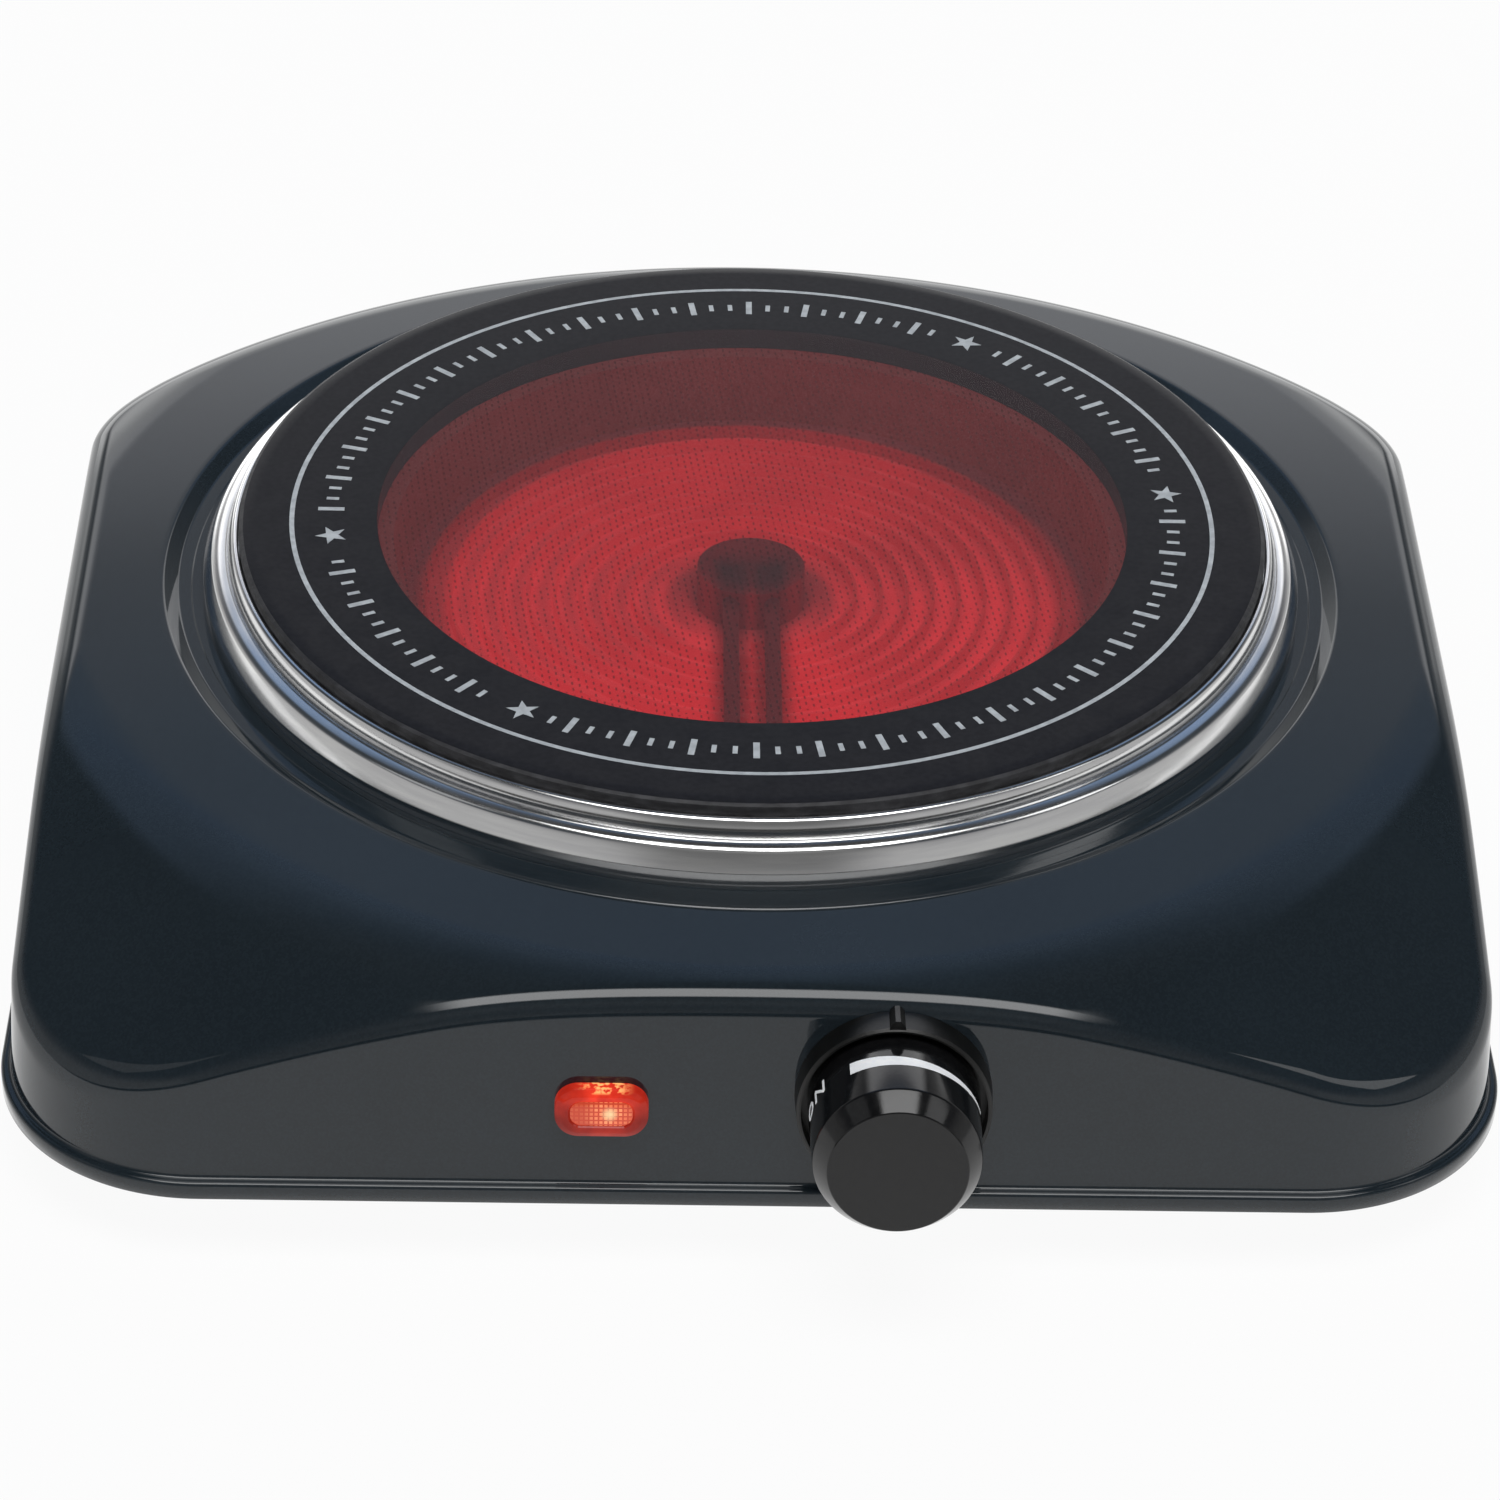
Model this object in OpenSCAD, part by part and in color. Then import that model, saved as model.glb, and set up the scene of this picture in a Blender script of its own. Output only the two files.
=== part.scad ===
// Single-plate infrared hot plate: a pressed steel housing on a screwed-on base plate, a stepped
// trim ring that carries a round ceramic glass, a spiral heater in an insulated dish below it, and
// a power regulator with its knob and a signal lamp in the front panel.
// Units are millimetres, +Z is up and -Y is the front. Z = 0 is the surface the feet stand on.

/* [Body] */
// Width of the housing over its bottom edge
body_w = 248; // [242:1:280]
// Depth of the housing over its bottom edge
body_d = 250; // [244:1:280]
// Height of the housing from the bottom step to the flat top
body_h = 36; // [34:0.5:46]
// Distance from the heater's axis to the front edge
disc_front = 131.2; // [128:0.2:140]
// Thickness of the pressed sheet
sheet = 0.8; // [0.6:0.1:1.2]
// Backward lean of the front panel, in degrees
lean = 4.5; // [2:0.5:7]
// Inward lean of the other walls, in degrees
side_lean = 3; // [1:0.5:7]
// Width of the step round the bottom
ledge_w = 1.7; // [1.4:0.1:3]
// Height of the skirt below the step
skirt_h = 3.2; // [2.6:0.1:6]
// Plan radius of the front corners
front_corner_r = 33; // [24:1:44]
// Plan radius of the back corners
back_corner_r = 36; // [20:1:44]
// Plan radius of the bowed back wall
back_arc_r = 155; // [148:1:180]
// Rolled edge along the front and the sides
edge_r = 3.6; // [2.5:0.1:5]
// Rolled edge at the front corners
edge_corner_r = 9; // [4:0.5:11]
// Rolled edge along the back
edge_back_r = 9; // [3:0.5:10]
// Fall of the top towards the front corners, in degrees
fall = 29; // [15:1:32]
// Radius at which the top starts to fall
fall_r = 127; // [124:1:134]
// Width over which the flat top turns into the fall
fall_blend = 16; // [8:1:20]

/* [Cooking surface] */
// Diameter of the ceramic glass
glass_d = 180; // [176:1:184]
// Thickness of the ceramic glass
glass_t = 4; // [3:0.5:5]
// Height of the glass above the flat top
glass_up = 10.8; // [9.8:0.2:14]
// Thickness of the seal under the glass
seal_t = 0.5; // [0.3:0.1:1]
// Width of the seat under the glass
seat_w = 5.8; // [4.5:0.1:6.5]
// Depth of the groove round the trim ring
moat_depth = 1.6; // [1.2:0.1:2.4]
// Width of the groove outside the trim ring
moat_w = 7.5; // [6.6:0.1:9]
// Sheet of the trim ring
ring_t = 0.8; // [0.6:0.1:1]
// How far the ring's upper lip stands outside the glass
lip_w = 1.7; // [1.4:0.1:2.2]
// How far the ring's upper lip stands above the seat
lip_up = 2.6; // [1:0.2:3]
// How far the ring's shoulder stands outside its lip
shoulder_w = 2.4; // [2.1:0.1:3]
// How far the ring's foot stands outside its shoulder
ring_foot_w = 1.7; // [1.4:0.1:2.2]

/* [Heater] */
// Height of the heater dish
dish_h = 17; // [15:0.5:19]
// Sheet of the heater dish
dish_t = 0.6; // [0.5:0.1:1]
// Thickness of the insulating base
insulation_t = 4.5; // [4:0.5:6]
// Radial width of the insulating rim
rim_w = 20; // [14:0.5:24]
// Turns of the heating ribbon
ribbon_turns = 9; // [5:1:10]
// Height of the heating ribbon
ribbon_h = 2.5; // [2:0.5:4]
// Thickness of the heating ribbon
ribbon_t = 0.6; // [0.4:0.1:0.8]
// Radius of the ceramic centre block
centre_r = 9.5; // [7:0.5:11]
// Radius of the two lead rods
rod_r = 1.4; // [1:0.1:1.6]
// Spacing of the two lead rods
rod_gap = 7.2; // [6:0.2:8]
// Height of the spacer under the dish
spacer_h = 5.5; // [4:0.5:8]
// Width of the cross bracket
bracket_w = 24; // [22:1:32]
// Distance between the legs of the cross bracket
bracket_span = 140; // [120:2:146]
// Thickness of the cross bracket
bracket_t = 1.2; // [1:0.1:2]

/* [Controls] */
// Sideways place of the knob
knob_x = 22; // [18:1:40]
// Height of the knob's axis above the bottom step
knob_z = 17.4; // [16.8:0.1:18.4]
// Diameter of the knob at its skirt
knob_d = 27.6; // [26:0.2:28.2]
// Diameter of the knob's front face
knob_face_d = 22.2; // [18:0.2:24]
// How far the knob stands out of the front panel
knob_reach = 22; // [20:0.5:26]
// Length of the knob's front bevel
knob_bevel = 3.4; // [2:0.2:5]
// Outer diameter of the knob collar
collar_d = 31.6; // [31.2:0.2:33]
// How far the collar stands out of the front panel
collar_h = 5; // [4:0.5:7]
// Wall of the collar
collar_t = 0.9; // [0.8:0.1:1.2]
// Diameter of the regulator shaft
shaft_d = 6; // [5:0.5:6.5]
// Running clearance of the shaft
shaft_gap = 0.05; // [0.02:0.01:0.1]
// Sideways place of the signal lamp
lamp_x = -24.5; // [-50:0.5:-20]
// Height of the signal lamp above the bottom step
lamp_z = 14.6; // [13:0.1:17]
// Width of the lamp lens
lens_w = 15; // [13:0.5:18]
// Height of the lamp lens
lens_h = 9; // [8:0.5:11]
// How far the lamp lens stands out of the front panel
lens_out = 2.5; // [1.5:0.1:4]

/* [Base] */
// Clear height under the housing
foot_h = 12; // [8:0.5:16]
// Top diameter of a rubber foot
foot_d = 19; // [16:0.5:24]
// Distance of the front feet from the side wall
foot_side = 30.3; // [28:0.1:44]
// Distance of the front feet from the front wall
foot_front = 41.5; // [36:0.5:52]
// Distance of the back feet from the side wall
foot_back_side = 42.3; // [40:0.1:56]
// Distance of the back feet behind the start of the back corner
foot_back = 18; // [0:1:20]
// Side of the square vent field in the base plate
vent_field = 90; // [60:5:110]

/* [Hidden] */

fine = 96;
touch = 0.3;            // gap between pieces that seat on curved faces

// Levels above the floor
z_skirt = foot_h;
z_ledge = z_skirt + skirt_h;
z_top = z_ledge + body_h;
z_glass = z_top + glass_up;
z_plate = z_ledge - sheet;              // top of the base plate
z_moat = z_top - moat_depth;
z_seat = z_glass - glass_t - seal_t;    // top of the ring's seat
z_dish = z_glass - glass_t - 2;         // top edge of the dish
z_dish_low = z_dish - dish_h;
z_insul = z_dish_low + dish_t + insulation_t;
z_rod = z_insul + ribbon_h + rod_r + 1;
z_shield = z_dish_low - spacer_h;       // top of the heat shield

// Plan of the housing at its bottom step, about the heater's axis
half_w = body_w / 2 - ledge_w;
front_y = disc_front - ledge_w;
back_y = body_d - disc_front - ledge_w;
arc_y = back_y - back_arc_r;
corner_y = arc_y + sqrt(pow(back_arc_r - back_corner_r, 2) - pow(half_w - back_corner_r, 2));
corner_a = atan2(corner_y - arc_y, half_w - back_corner_r);
arc_n = 15;             // flats along the back wall
back_flat = arc_y + back_arc_r * cos((90 - corner_a) / arc_n);

// The part's origin is at the middle of its bounding box
face_edge = knob_face_d / 2;
front_reach = front_y - tan(lean) * knob_z + knob_reach * cos(lean) + face_edge * sin(lean);
disc_y = (front_reach - back_y - ledge_w) / 2;

// Radii about the heater's axis
glass_r = glass_d / 2;
seat_r = glass_r - seat_w;
lip_r = glass_r + lip_w;
shoulder_r = lip_r + shoulder_w;
ring_foot_r = shoulder_r + ring_foot_w;
moat_r = ring_foot_r + moat_w;
hole_r = shoulder_r - 0.9;              // opening in the housing's top
dish_r = seat_r - 0.6;
shield_r = dish_r - 5;

module at_disc() { translate([0, disc_y, 0]) children(); }
module at_height(z) { translate([0, disc_y, z]) children(); }

// A stretch of the plan: points with the direction of the outward normal, end point left out
function line_run(a, b, normal, n) =
    [for (i = [0 : n - 1]) [a[0] + (b[0] - a[0]) * i / n, a[1] + (b[1] - a[1]) * i / n, normal]];
function arc_run(c, r, from, to, n) =
    [for (i = [0 : n - 1]) let (a = from + (to - from) * i / n)
        [c[0] + r * cos(a), c[1] + r * sin(a), a]];

// The closed plan at the bottom step, anticlockwise from the front left corner
function plan(side_n, corner_n, arc_n) = let (
    fx = half_w - front_corner_r, fy = -front_y + front_corner_r, bx = half_w - back_corner_r)
    concat(
        line_run([-fx, -front_y], [fx, -front_y], -90, side_n + 4),
        arc_run([fx, fy], front_corner_r, -90, 0, corner_n),
        line_run([half_w, fy], [half_w, corner_y], 0, side_n),
        arc_run([bx, corner_y], back_corner_r, 0, corner_a, corner_n - 2),
        arc_run([0, arc_y], back_arc_r, corner_a, 180 - corner_a, arc_n),
        arc_run([-bx, corner_y], back_corner_r, 180 - corner_a, 180, corner_n - 2),
        line_run([-half_w, corner_y], [-half_w, fy], 180, side_n),
        arc_run([-fx, fy], front_corner_r, 180, 270, corner_n));

// A plan point moved outward along its normal
function out_by(p, d) = [p[0] + d * cos(p[2]), p[1] + d * sin(p[2])];
function outline(d) = [for (p = plan(4, 14, 24)) out_by(p, d)];

// How far the top lies below its flat height at radius r, and how steeply it falls there
function drop(r) = let (a = fall_r - fall_blend / 2, b = fall_r + fall_blend / 2)
    r < a ? 0 : r < b ? tan(fall) * pow(r - a, 2) / (2 * fall_blend) : tan(fall) * (r - fall_r);
function drop_rate(r) = let (a = fall_r - fall_blend / 2)
    r < a ? 0 : r < a + fall_blend ? tan(fall) * (r - a) / fall_blend : tan(fall);

// Radius of the rolled edge, and lean of the wall, where the outward normal points along a
function smooth(t) = let (u = min(1, max(0, t))) u * u * (3 - 2 * u);
function off_front(a) = let (b = (a + 450) % 360) min(b, 360 - b);
function roll(a) = let (b = off_front(a)) edge_r
    + (edge_corner_r - edge_r) * smooth(1 - abs(b - 45) / 45)
    + (edge_back_r - edge_r) * smooth((b - 90) / 40);
function lean_at(a) = lean + (side_lean - lean) * smooth(off_front(a) / 90);

// Point and slope of the top s inward of plan point p, as [s, z, tangent of the slope]
function top_at(p, s) = let (
    x = p[0] - s * cos(p[2]), y = p[1] - s * sin(p[2]), r = norm([x, y]),
    facing = (x * cos(p[2]) + y * sin(p[2])) / r)
    [s, z_top - drop(r), drop_rate(r) * facing];
// Height at which the tangent of the top at t meets a wall with lean w
function meet(t, w) = (t[1] - t[2] * (z_ledge * tan(w) + t[0])) / (1 - t[2] * tan(w));
function turn(t, w) = 90 - atan(t[2]) - w;
function inward(rr, t, w) =
    (meet(t, w) - z_ledge) * tan(w) + rr * tan(turn(t, w) / 2) * cos(atan(t[2]));

// Rolled edge at plan point p: centre [s, z], radius and end angle of the arc
function edge_arc(p) = let (
    w = lean_at(p[2]), rr = roll(p[2]), t0 = top_at(p, 2 + rr),
    t1 = top_at(p, inward(rr, t0, w)), t = top_at(p, inward(rr, t1, w)),
    z = meet(t, w), d = rr * tan(turn(t, w) / 2))
    [(z - z_ledge) * tan(w) - d * sin(w) + rr * cos(w),
        z - d * cos(w) - rr * sin(w), rr, 90 - atan(t[2])];

function place(p, s, z) = [p[0] - s * cos(p[2]), p[1] - s * sin(p[2]), z];
function polar(a, r, z) = [r * cos(a), r * sin(a), z];

// Closed section of the housing at plan point p, outer face first
function section(p) = let (
    e = edge_arc(p), az = atan2(p[1], p[0]), w = lean_at(p[2]), cove = moat_w - 2.1,
    steps = 5, lip = 0.4, deep = moat_depth - lip, low = z_moat - sheet,
    q = place(p, e[0] - e[2] * cos(e[3]), 0), rim = polar(az, moat_r + lip, 0),
    inner_r = e[2] - sheet)
    concat(
        [polar(az, hole_r, z_moat)],
        [for (u = [0 : 30 : 90])
            polar(az, moat_r - cove + cove * sin(u), z_moat + deep * (1 - cos(u)))],
        [for (u = [0 : 0.25 : 0.8]) let (m = rim + (q - rim) * u)
            [m[0], m[1], z_top - drop(norm([m[0], m[1]]))]],
        [for (i = [steps : -1 : 0]) let (b = w + (e[3] - w) * i / steps)
            place(p, e[0] - e[2] * cos(b), e[1] + e[2] * sin(b))],
        [place(p, 0, z_ledge), place(p, 0.6 - ledge_w, z_ledge),
            place(p, 0.15 - ledge_w, z_ledge - 0.2), place(p, -ledge_w, z_ledge - 0.7),
            place(p, -ledge_w, z_skirt), place(p, sheet - ledge_w, z_skirt),
            place(p, sheet - ledge_w, z_plate),
            place(p, sheet / cos(w) - sheet * tan(w), z_plate)],
        [for (i = [0 : steps - 1]) let (b = w + (e[3] - w) * i / (steps - 1))
            place(p, e[0] - inner_r * cos(b), e[1] + inner_r * sin(b))],
        [for (u = [0.7 : -0.35 : 0]) let (m = rim + (q - rim) * u, r = norm([m[0], m[1]]))
            [m[0], m[1], z_top - drop(r) - sheet * sqrt(1 + pow(drop_rate(r), 2))]],
        [polar(az, moat_r + lip + 0.2, z_top - sheet - 0.1), polar(az, moat_r - 0.6, low + 0.3),
            polar(az, moat_r - cove, low), polar(az, hole_r, low)]);

// Skin over rings of equal length, closed both ways
module torus_skin(rings) {
    n = len(rings);
    k = len(rings[0]);
    points = [for (ring = rings) each ring];
    faces = [for (i = [0 : n - 1], j = [0 : k - 1]) let (
        a = i * k + j, b = i * k + (j + 1) % k,
        c = ((i + 1) % n) * k + (j + 1) % k, d = ((i + 1) % n) * k + j)
        each [[a, c, b], [a, d, c]]];
    polyhedron(points, faces, convexity = 8);
}

// Frame of a control: origin on the outer face of the front panel, +Z out of it, +Y up it
module on_front(x, z) {
    translate([x, disc_y - front_y + tan(lean) * z, z_ledge + z]) rotate([90 - lean, 0, 0])
        children();
}
module at_knob() { on_front(knob_x, knob_z) children(); }
module at_lamp() { on_front(lamp_x, lamp_z) children(); }
module tube(r_out, r_in, h) {
    difference() {
        cylinder(r = r_out, h = h, $fn = fine);
        translate([0, 0, -1]) cylinder(r = r_in, h = h + 2, $fn = fine);
    }
}
module hex(across, h) { cylinder(d = across / cos(30), h = h, $fn = 6); }
module hex_nut(across, r_in, h) {
    difference() {
        hex(across, h);
        translate([0, 0, -1]) cylinder(r = r_in, h = h + 2, $fn = fine);
    }
}
// Pan-head screw, head downward below z = 0, shank up
module screw_up(head_r, head_h, r, h) {
    translate([0, 0, -head_h]) difference() {
        cylinder(r = head_r, h = head_h, $fn = fine);
        for (a = [0, 90]) rotate(a) translate([-head_r * 0.6, -0.4, -1])
            cube([head_r * 1.2, 0.8, 1 + head_h / 2]);
    }
    cylinder(r = r, h = h, $fn = fine);
}

// Base fixings
screw_r = 1.9;
tab_len = 13;
tab_w = 14;
tab_in = 8;
front_tab_x = half_w - front_corner_r - 12;
side_tab_y = 42;
back_tab_a = corner_a + 8;
back_fix_r = back_arc_r - tab_in;
front_foot = [half_w - foot_side, foot_front - front_y];
back_foot = [half_w - foot_back_side, corner_y + foot_back];
feet = [[-front_foot[0], front_foot[1]], front_foot, [-back_foot[0], back_foot[1]], back_foot];
// Where the base is screwed on: [x, y, direction inward]
fixings = [
    [-front_tab_x, -front_y + tab_in, 90], [front_tab_x, -front_y + tab_in, 90],
    [half_w - tab_in, 0, 180], [-half_w + tab_in, 0, 0],
    [back_fix_r * cos(back_tab_a), arc_y + back_fix_r * sin(back_tab_a), back_tab_a + 180],
    [-back_fix_r * cos(back_tab_a), arc_y + back_fix_r * sin(back_tab_a), -back_tab_a]];

// Regulator, in the frame of the knob
plate_t = 1.2;
bush_r = 4.9;
bush_len = 8;
floor_t = 1.4;          // floor of the collar
reg_w = 34;
reg_room = 1.05;        // left between the regulator's plate and the top above it
reg_h = 2 * (z_top - drop(norm([knob_x + reg_w / 2, front_y])) - z_ledge - knob_z - reg_room);
reg_d = 22;
reg_wall = 2;
panel_gap = 0.05;       // between the front panel and what lies behind it
z_reg = -sheet - panel_gap - plate_t;       // front of the regulator's body
shaft_r = shaft_d / 2;
cam_low = 5.4;
cam_rise = 1.5;
cam_t = 3;
z_cam = z_reg - 12;
knob_low = -80;         // turn to full power, in degrees
knob_high = 135;        // turn to off
lever_y = -7;
cam_mid = cam_low + cam_rise * knob_high / (knob_high - knob_low);
lever_x = -(cam_mid + 2.6);
contact_y = 4.6;
button_h = 1;
lever_swing = cam_rise * knob_low / (knob_high - knob_low) * (contact_y / lever_y - 1);

// Signal lamp, in its own frame
neck_w = lens_w - 3;
neck_h = lens_h - 3;
lamp_len = 20;

// Mains inlet at the back
inlet_z = 13.5;
inlet_r = 6.5;
cord_r = 3.6;
term_w = 30;
term_d = 12;
term_h = 10;
term_y = back_y - 25;
earth_x = 34;
earth_y = term_y;
wire_r = 1.2;
spade_t = 0.8;
spade_w = 6.3;

module top_housing() color("#26323a") {
    difference() {
        union() {
            at_disc() torus_skin([for (p = plan(9, 10, arc_n)) section(p)]);
            for (f = fixings) translate([f[0], f[1] + disc_y, z_plate]) rotate(f[2])
                translate([-tab_in + sheet / 2, -tab_w / 2, 0]) cube([tab_len, tab_w, sheet]);
        }
        for (f = fixings) translate([f[0], f[1] + disc_y, z_plate - 1])
            cylinder(r = screw_r, h = 4, $fn = fine);
        at_knob() translate([0, 0, -5]) cylinder(r = bush_r + 0.2, h = 10, $fn = fine);
        at_lamp() translate([-neck_w / 2 - 0.2, -neck_h / 2 - 0.2, -5])
            cube([neck_w + 0.4, neck_h + 0.4, 10]);
        at_inlet() translate([0, 0, -8]) cylinder(r = inlet_r, h = 16, $fn = fine);
    }
}

module base_plate() color("#8d9296") {
    slot_w = 3;
    pitch = 9;
    rows = floor(vent_field / pitch / 2);
    slot_l = 26;
    difference() {
        at_height(z_plate - sheet) linear_extrude(sheet) polygon(outline(ledge_w - sheet - touch));
        for (f = fixings) translate([f[0], f[1] + disc_y, 0])
            cylinder(r = screw_r + 0.2, h = z_ledge, $fn = fine);
        for (f = feet) at_disc() translate([f[0], f[1], 0])
            cylinder(r = screw_r + 0.1, h = z_ledge, $fn = fine);
        for (x = [-1, 1], y = [-1, 1]) at_disc()
            translate([x * (bracket_span / 2 + 7), y * bracket_w / 4, 0])
                cylinder(r = screw_r + 0.1, h = z_ledge, $fn = fine);
        at_disc() translate([earth_x, earth_y, 0])
            cylinder(r = screw_r + 0.1, h = z_ledge, $fn = fine);
        at_height(z_plate - sheet - 1) for (x = [-1, 1], i = [-rows : rows])
            translate([x * 22, i * pitch, 0]) linear_extrude(sheet + 2) {
                square([slot_l, slot_w], center = true);
                for (e = [-1, 1]) translate([e * slot_l / 2, 0]) circle(d = slot_w, $fn = 48);
            }
    }
}

// Rounded corner of a profile: centre, radius, from and to angles
function bend(x, y, r, a0, a1, n) =
    [for (i = [0 : n]) let (a = a0 + (a1 - a0) * i / n) [x + r * cos(a), y + r * sin(a)]];

module trim_ring() color("#d8dadb") at_disc() {
    groove_z = z_seat - 1.5;
    shoulder_h = 1.8;
    foot_top = z_moat + ring_t;
    flare = 0.4;
    wall_r = shoulder_r + flare;
    bead_r = (lip_w - 0.2) / 2;
    profile = concat(
        [[seat_r, z_seat], [lip_r - 2 * bead_r, z_seat]],
        bend(lip_r - bead_r, z_seat + lip_up - bead_r, bead_r, 180, 0, 8),
        bend(lip_r + 0.3, groove_z + 0.3, 0.3, 180, 270, 3),
        bend(shoulder_r - shoulder_h, groove_z - shoulder_h, shoulder_h, 80, 4, 6),
        bend(wall_r + 0.5, foot_top + 0.5, 0.5, 184, 270, 4),
        [[ring_foot_r, foot_top], [ring_foot_r, z_moat], [wall_r - ring_t, z_moat],
            [shoulder_r - ring_t, groove_z - shoulder_h],
            [shoulder_r - shoulder_h, groove_z - ring_t],
            [lip_r - ring_t, groove_z - ring_t], [lip_r - ring_t, z_seat - ring_t],
            [seat_r, z_seat - ring_t]]);
    rotate_extrude($fn = 180) polygon(profile);
    // Tabs bent out under the housing's top sheet
    tab_r = hole_r - 0.2;
    for (a = [45 : 90 : 315]) rotate(a - 4) {
        rotate_extrude(angle = 8, $fn = fine) {
            translate([tab_r - ring_t, z_moat - sheet - ring_t - 0.1])
                square([ring_t, groove_z - z_moat + sheet + 0.1]);
            translate([tab_r - ring_t, z_moat - sheet - ring_t - 0.1]) square([5, ring_t]);
        }
    }
}

module glass_seal() color("#2b2b2b") at_height(z_seat) tube(glass_r - 0.6, seat_r + 0.2, seal_t);

module glass_plate() color("#17181a") at_height(z_seat + seal_t) {
    bevel = 0.4;
    rotate_extrude($fn = 180) polygon([[0, 0], [glass_r - bevel, 0], [glass_r, bevel],
        [glass_r, glass_t - bevel], [glass_r - bevel, glass_t], [0, glass_t]]);
}

module heater_dish() color("#b9bcbe") difference() {
    at_height(z_dish_low) cylinder(r = dish_r, h = dish_h, $fn = 180);
    at_height(z_dish_low + dish_t) cylinder(r = dish_r - dish_t, h = dish_h, $fn = 180);
    rod_holes(rod_r + 0.3);
}

module rod_holes(r) {
    for (x = [-1, 1]) at_height(z_rod) translate([x * rod_gap / 2, -centre_r - 3, 0])
        rotate([90, 0, 0]) cylinder(r = r, h = dish_r, $fn = fine);
}

module insulation_base() color("#e6e1d3") at_height(z_dish_low + dish_t)
    cylinder(r = dish_r - dish_t, h = insulation_t, $fn = 180);

module insulation_rim() color("#efe9da") difference() {
    at_height(z_insul)
        tube(dish_r - dish_t, dish_r - dish_t - rim_w, z_glass - glass_t - touch - z_insul);
    rod_holes(rod_r + 0.05);
}

// Spiral ribbon standing on edge
ribbon_in = centre_r + 8;
ribbon_out = dish_r - dish_t - rim_w - 4;
function spiral(u, d) = let (a = 360 * ribbon_turns * u - 90)
    (ribbon_in + (ribbon_out - ribbon_in) * u + d) * [cos(a), sin(a)];
module heater_ribbon() color("#c8442c") at_height(z_insul) linear_extrude(ribbon_h)
    let (steps = 40 * ribbon_turns) polygon(concat(
        [for (i = [0 : steps]) spiral(i / steps, ribbon_t / 2)],
        [for (i = [steps : -1 : 0]) spiral(i / steps, -ribbon_t / 2)]));

module centre_block() color("#f2efe8") difference() {
    at_height(z_insul) cylinder(r = centre_r, h = z_rod - z_insul + rod_r + 1, $fn = fine);
    lead_rod_pair(rod_r);
}

rod_start = -2;
rod_end = -(dish_r + 2);
module lead_rod_pair(r) {
    for (x = [-1, 1]) at_height(z_rod) translate([x * rod_gap / 2, rod_start, 0])
        rotate([90, 0, 0]) cylinder(r = r, h = rod_start - rod_end, $fn = fine);
}
module lead_rods() color("#4a4543") lead_rod_pair(rod_r);

block_w = 20;
block_d = 6;
block_low = z_rod - 5;
module terminal_block() color("#f4f1ea") difference() {
    at_disc() translate([-block_w / 2, -dish_r - 0.1 - block_d, block_low])
        cube([block_w, block_d, 8]);
    lead_rod_pair(rod_r);
}

tab_drop = 8;
module heater_tabs() color("#c9a24a") for (x = [-1, 1]) at_disc()
    translate([x * 5.6 - spade_w / 2, -dish_r - 0.1 - block_d / 2 - spade_t / 2,
        block_low - tab_drop]) difference() {
        cube([spade_w, spade_t, tab_drop]);
        translate([spade_w / 2, -1, 2.5]) rotate([-90, 0, 0]) cylinder(r = 0.8, h = 3, $fn = 48);
    }

stud_r = 2.5;
stud_gap = 0.1;
module heat_shield() color("#c4c7c9") at_height(z_shield - dish_t)
    tube(shield_r, stud_r + stud_gap, dish_t);

bracket_top = z_shield - dish_t;
module cross_bracket() color("#9aa0a4") {
    hole = screw_r + 0.1;
    foot_l = 14;
    difference() {
        at_disc() {
            translate([-bracket_span / 2, -bracket_w / 2, bracket_top - bracket_t])
                cube([bracket_span, bracket_w, bracket_t]);
            for (x = [-1, 1]) {
                translate([x * (bracket_span - bracket_t) / 2 - bracket_t / 2, -bracket_w / 2,
                    z_plate]) cube([bracket_t, bracket_w, bracket_top - z_plate]);
                translate([x * (bracket_span / 2 + foot_l / 2) - foot_l / 2 - x * 0.1,
                    -bracket_w / 2, z_plate]) cube([foot_l, bracket_w, bracket_t]);
            }
        }
        at_height(z_plate) cylinder(r = stud_r + stud_gap, h = bracket_top, $fn = fine);
        for (x = [-1, 1], y = [-1, 1]) at_disc()
            translate([x * (bracket_span / 2 + 7), y * bracket_w / 4, z_plate - 1])
                cylinder(r = hole, h = 4, $fn = fine);
    }
}

nut_h = 4;
module dish_stud() color("#b4b7ba") at_height(bracket_top - bracket_t - nut_h - 1.5)
    cylinder(r = stud_r, h = z_dish_low - bracket_top + bracket_t + nut_h + 1.5, $fn = fine);
module dish_spacer() color("#b4b7ba") at_height(z_shield)
    tube(stud_r + 2.5, stud_r + stud_gap, spacer_h);
module stud_nut() color("#b4b7ba") at_height(bracket_top - bracket_t - nut_h)
    hex_nut(8, stud_r, nut_h);

small_nut_h = 2.6;
module bracket_screws() color("#b4b7ba") for (x = [-1, 1], y = [-1, 1])
    at_height(z_plate - sheet) translate([x * (bracket_span / 2 + 7), y * bracket_w / 4, 0])
        screw_up(3.4, 1.8, screw_r, sheet + bracket_t + small_nut_h + 0.8);
module bracket_nuts() color("#b4b7ba") for (x = [-1, 1], y = [-1, 1])
    at_height(z_plate + bracket_t) translate([x * (bracket_span / 2 + 7), y * bracket_w / 4, 0])
        hex_nut(7, screw_r, small_nut_h);

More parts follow.
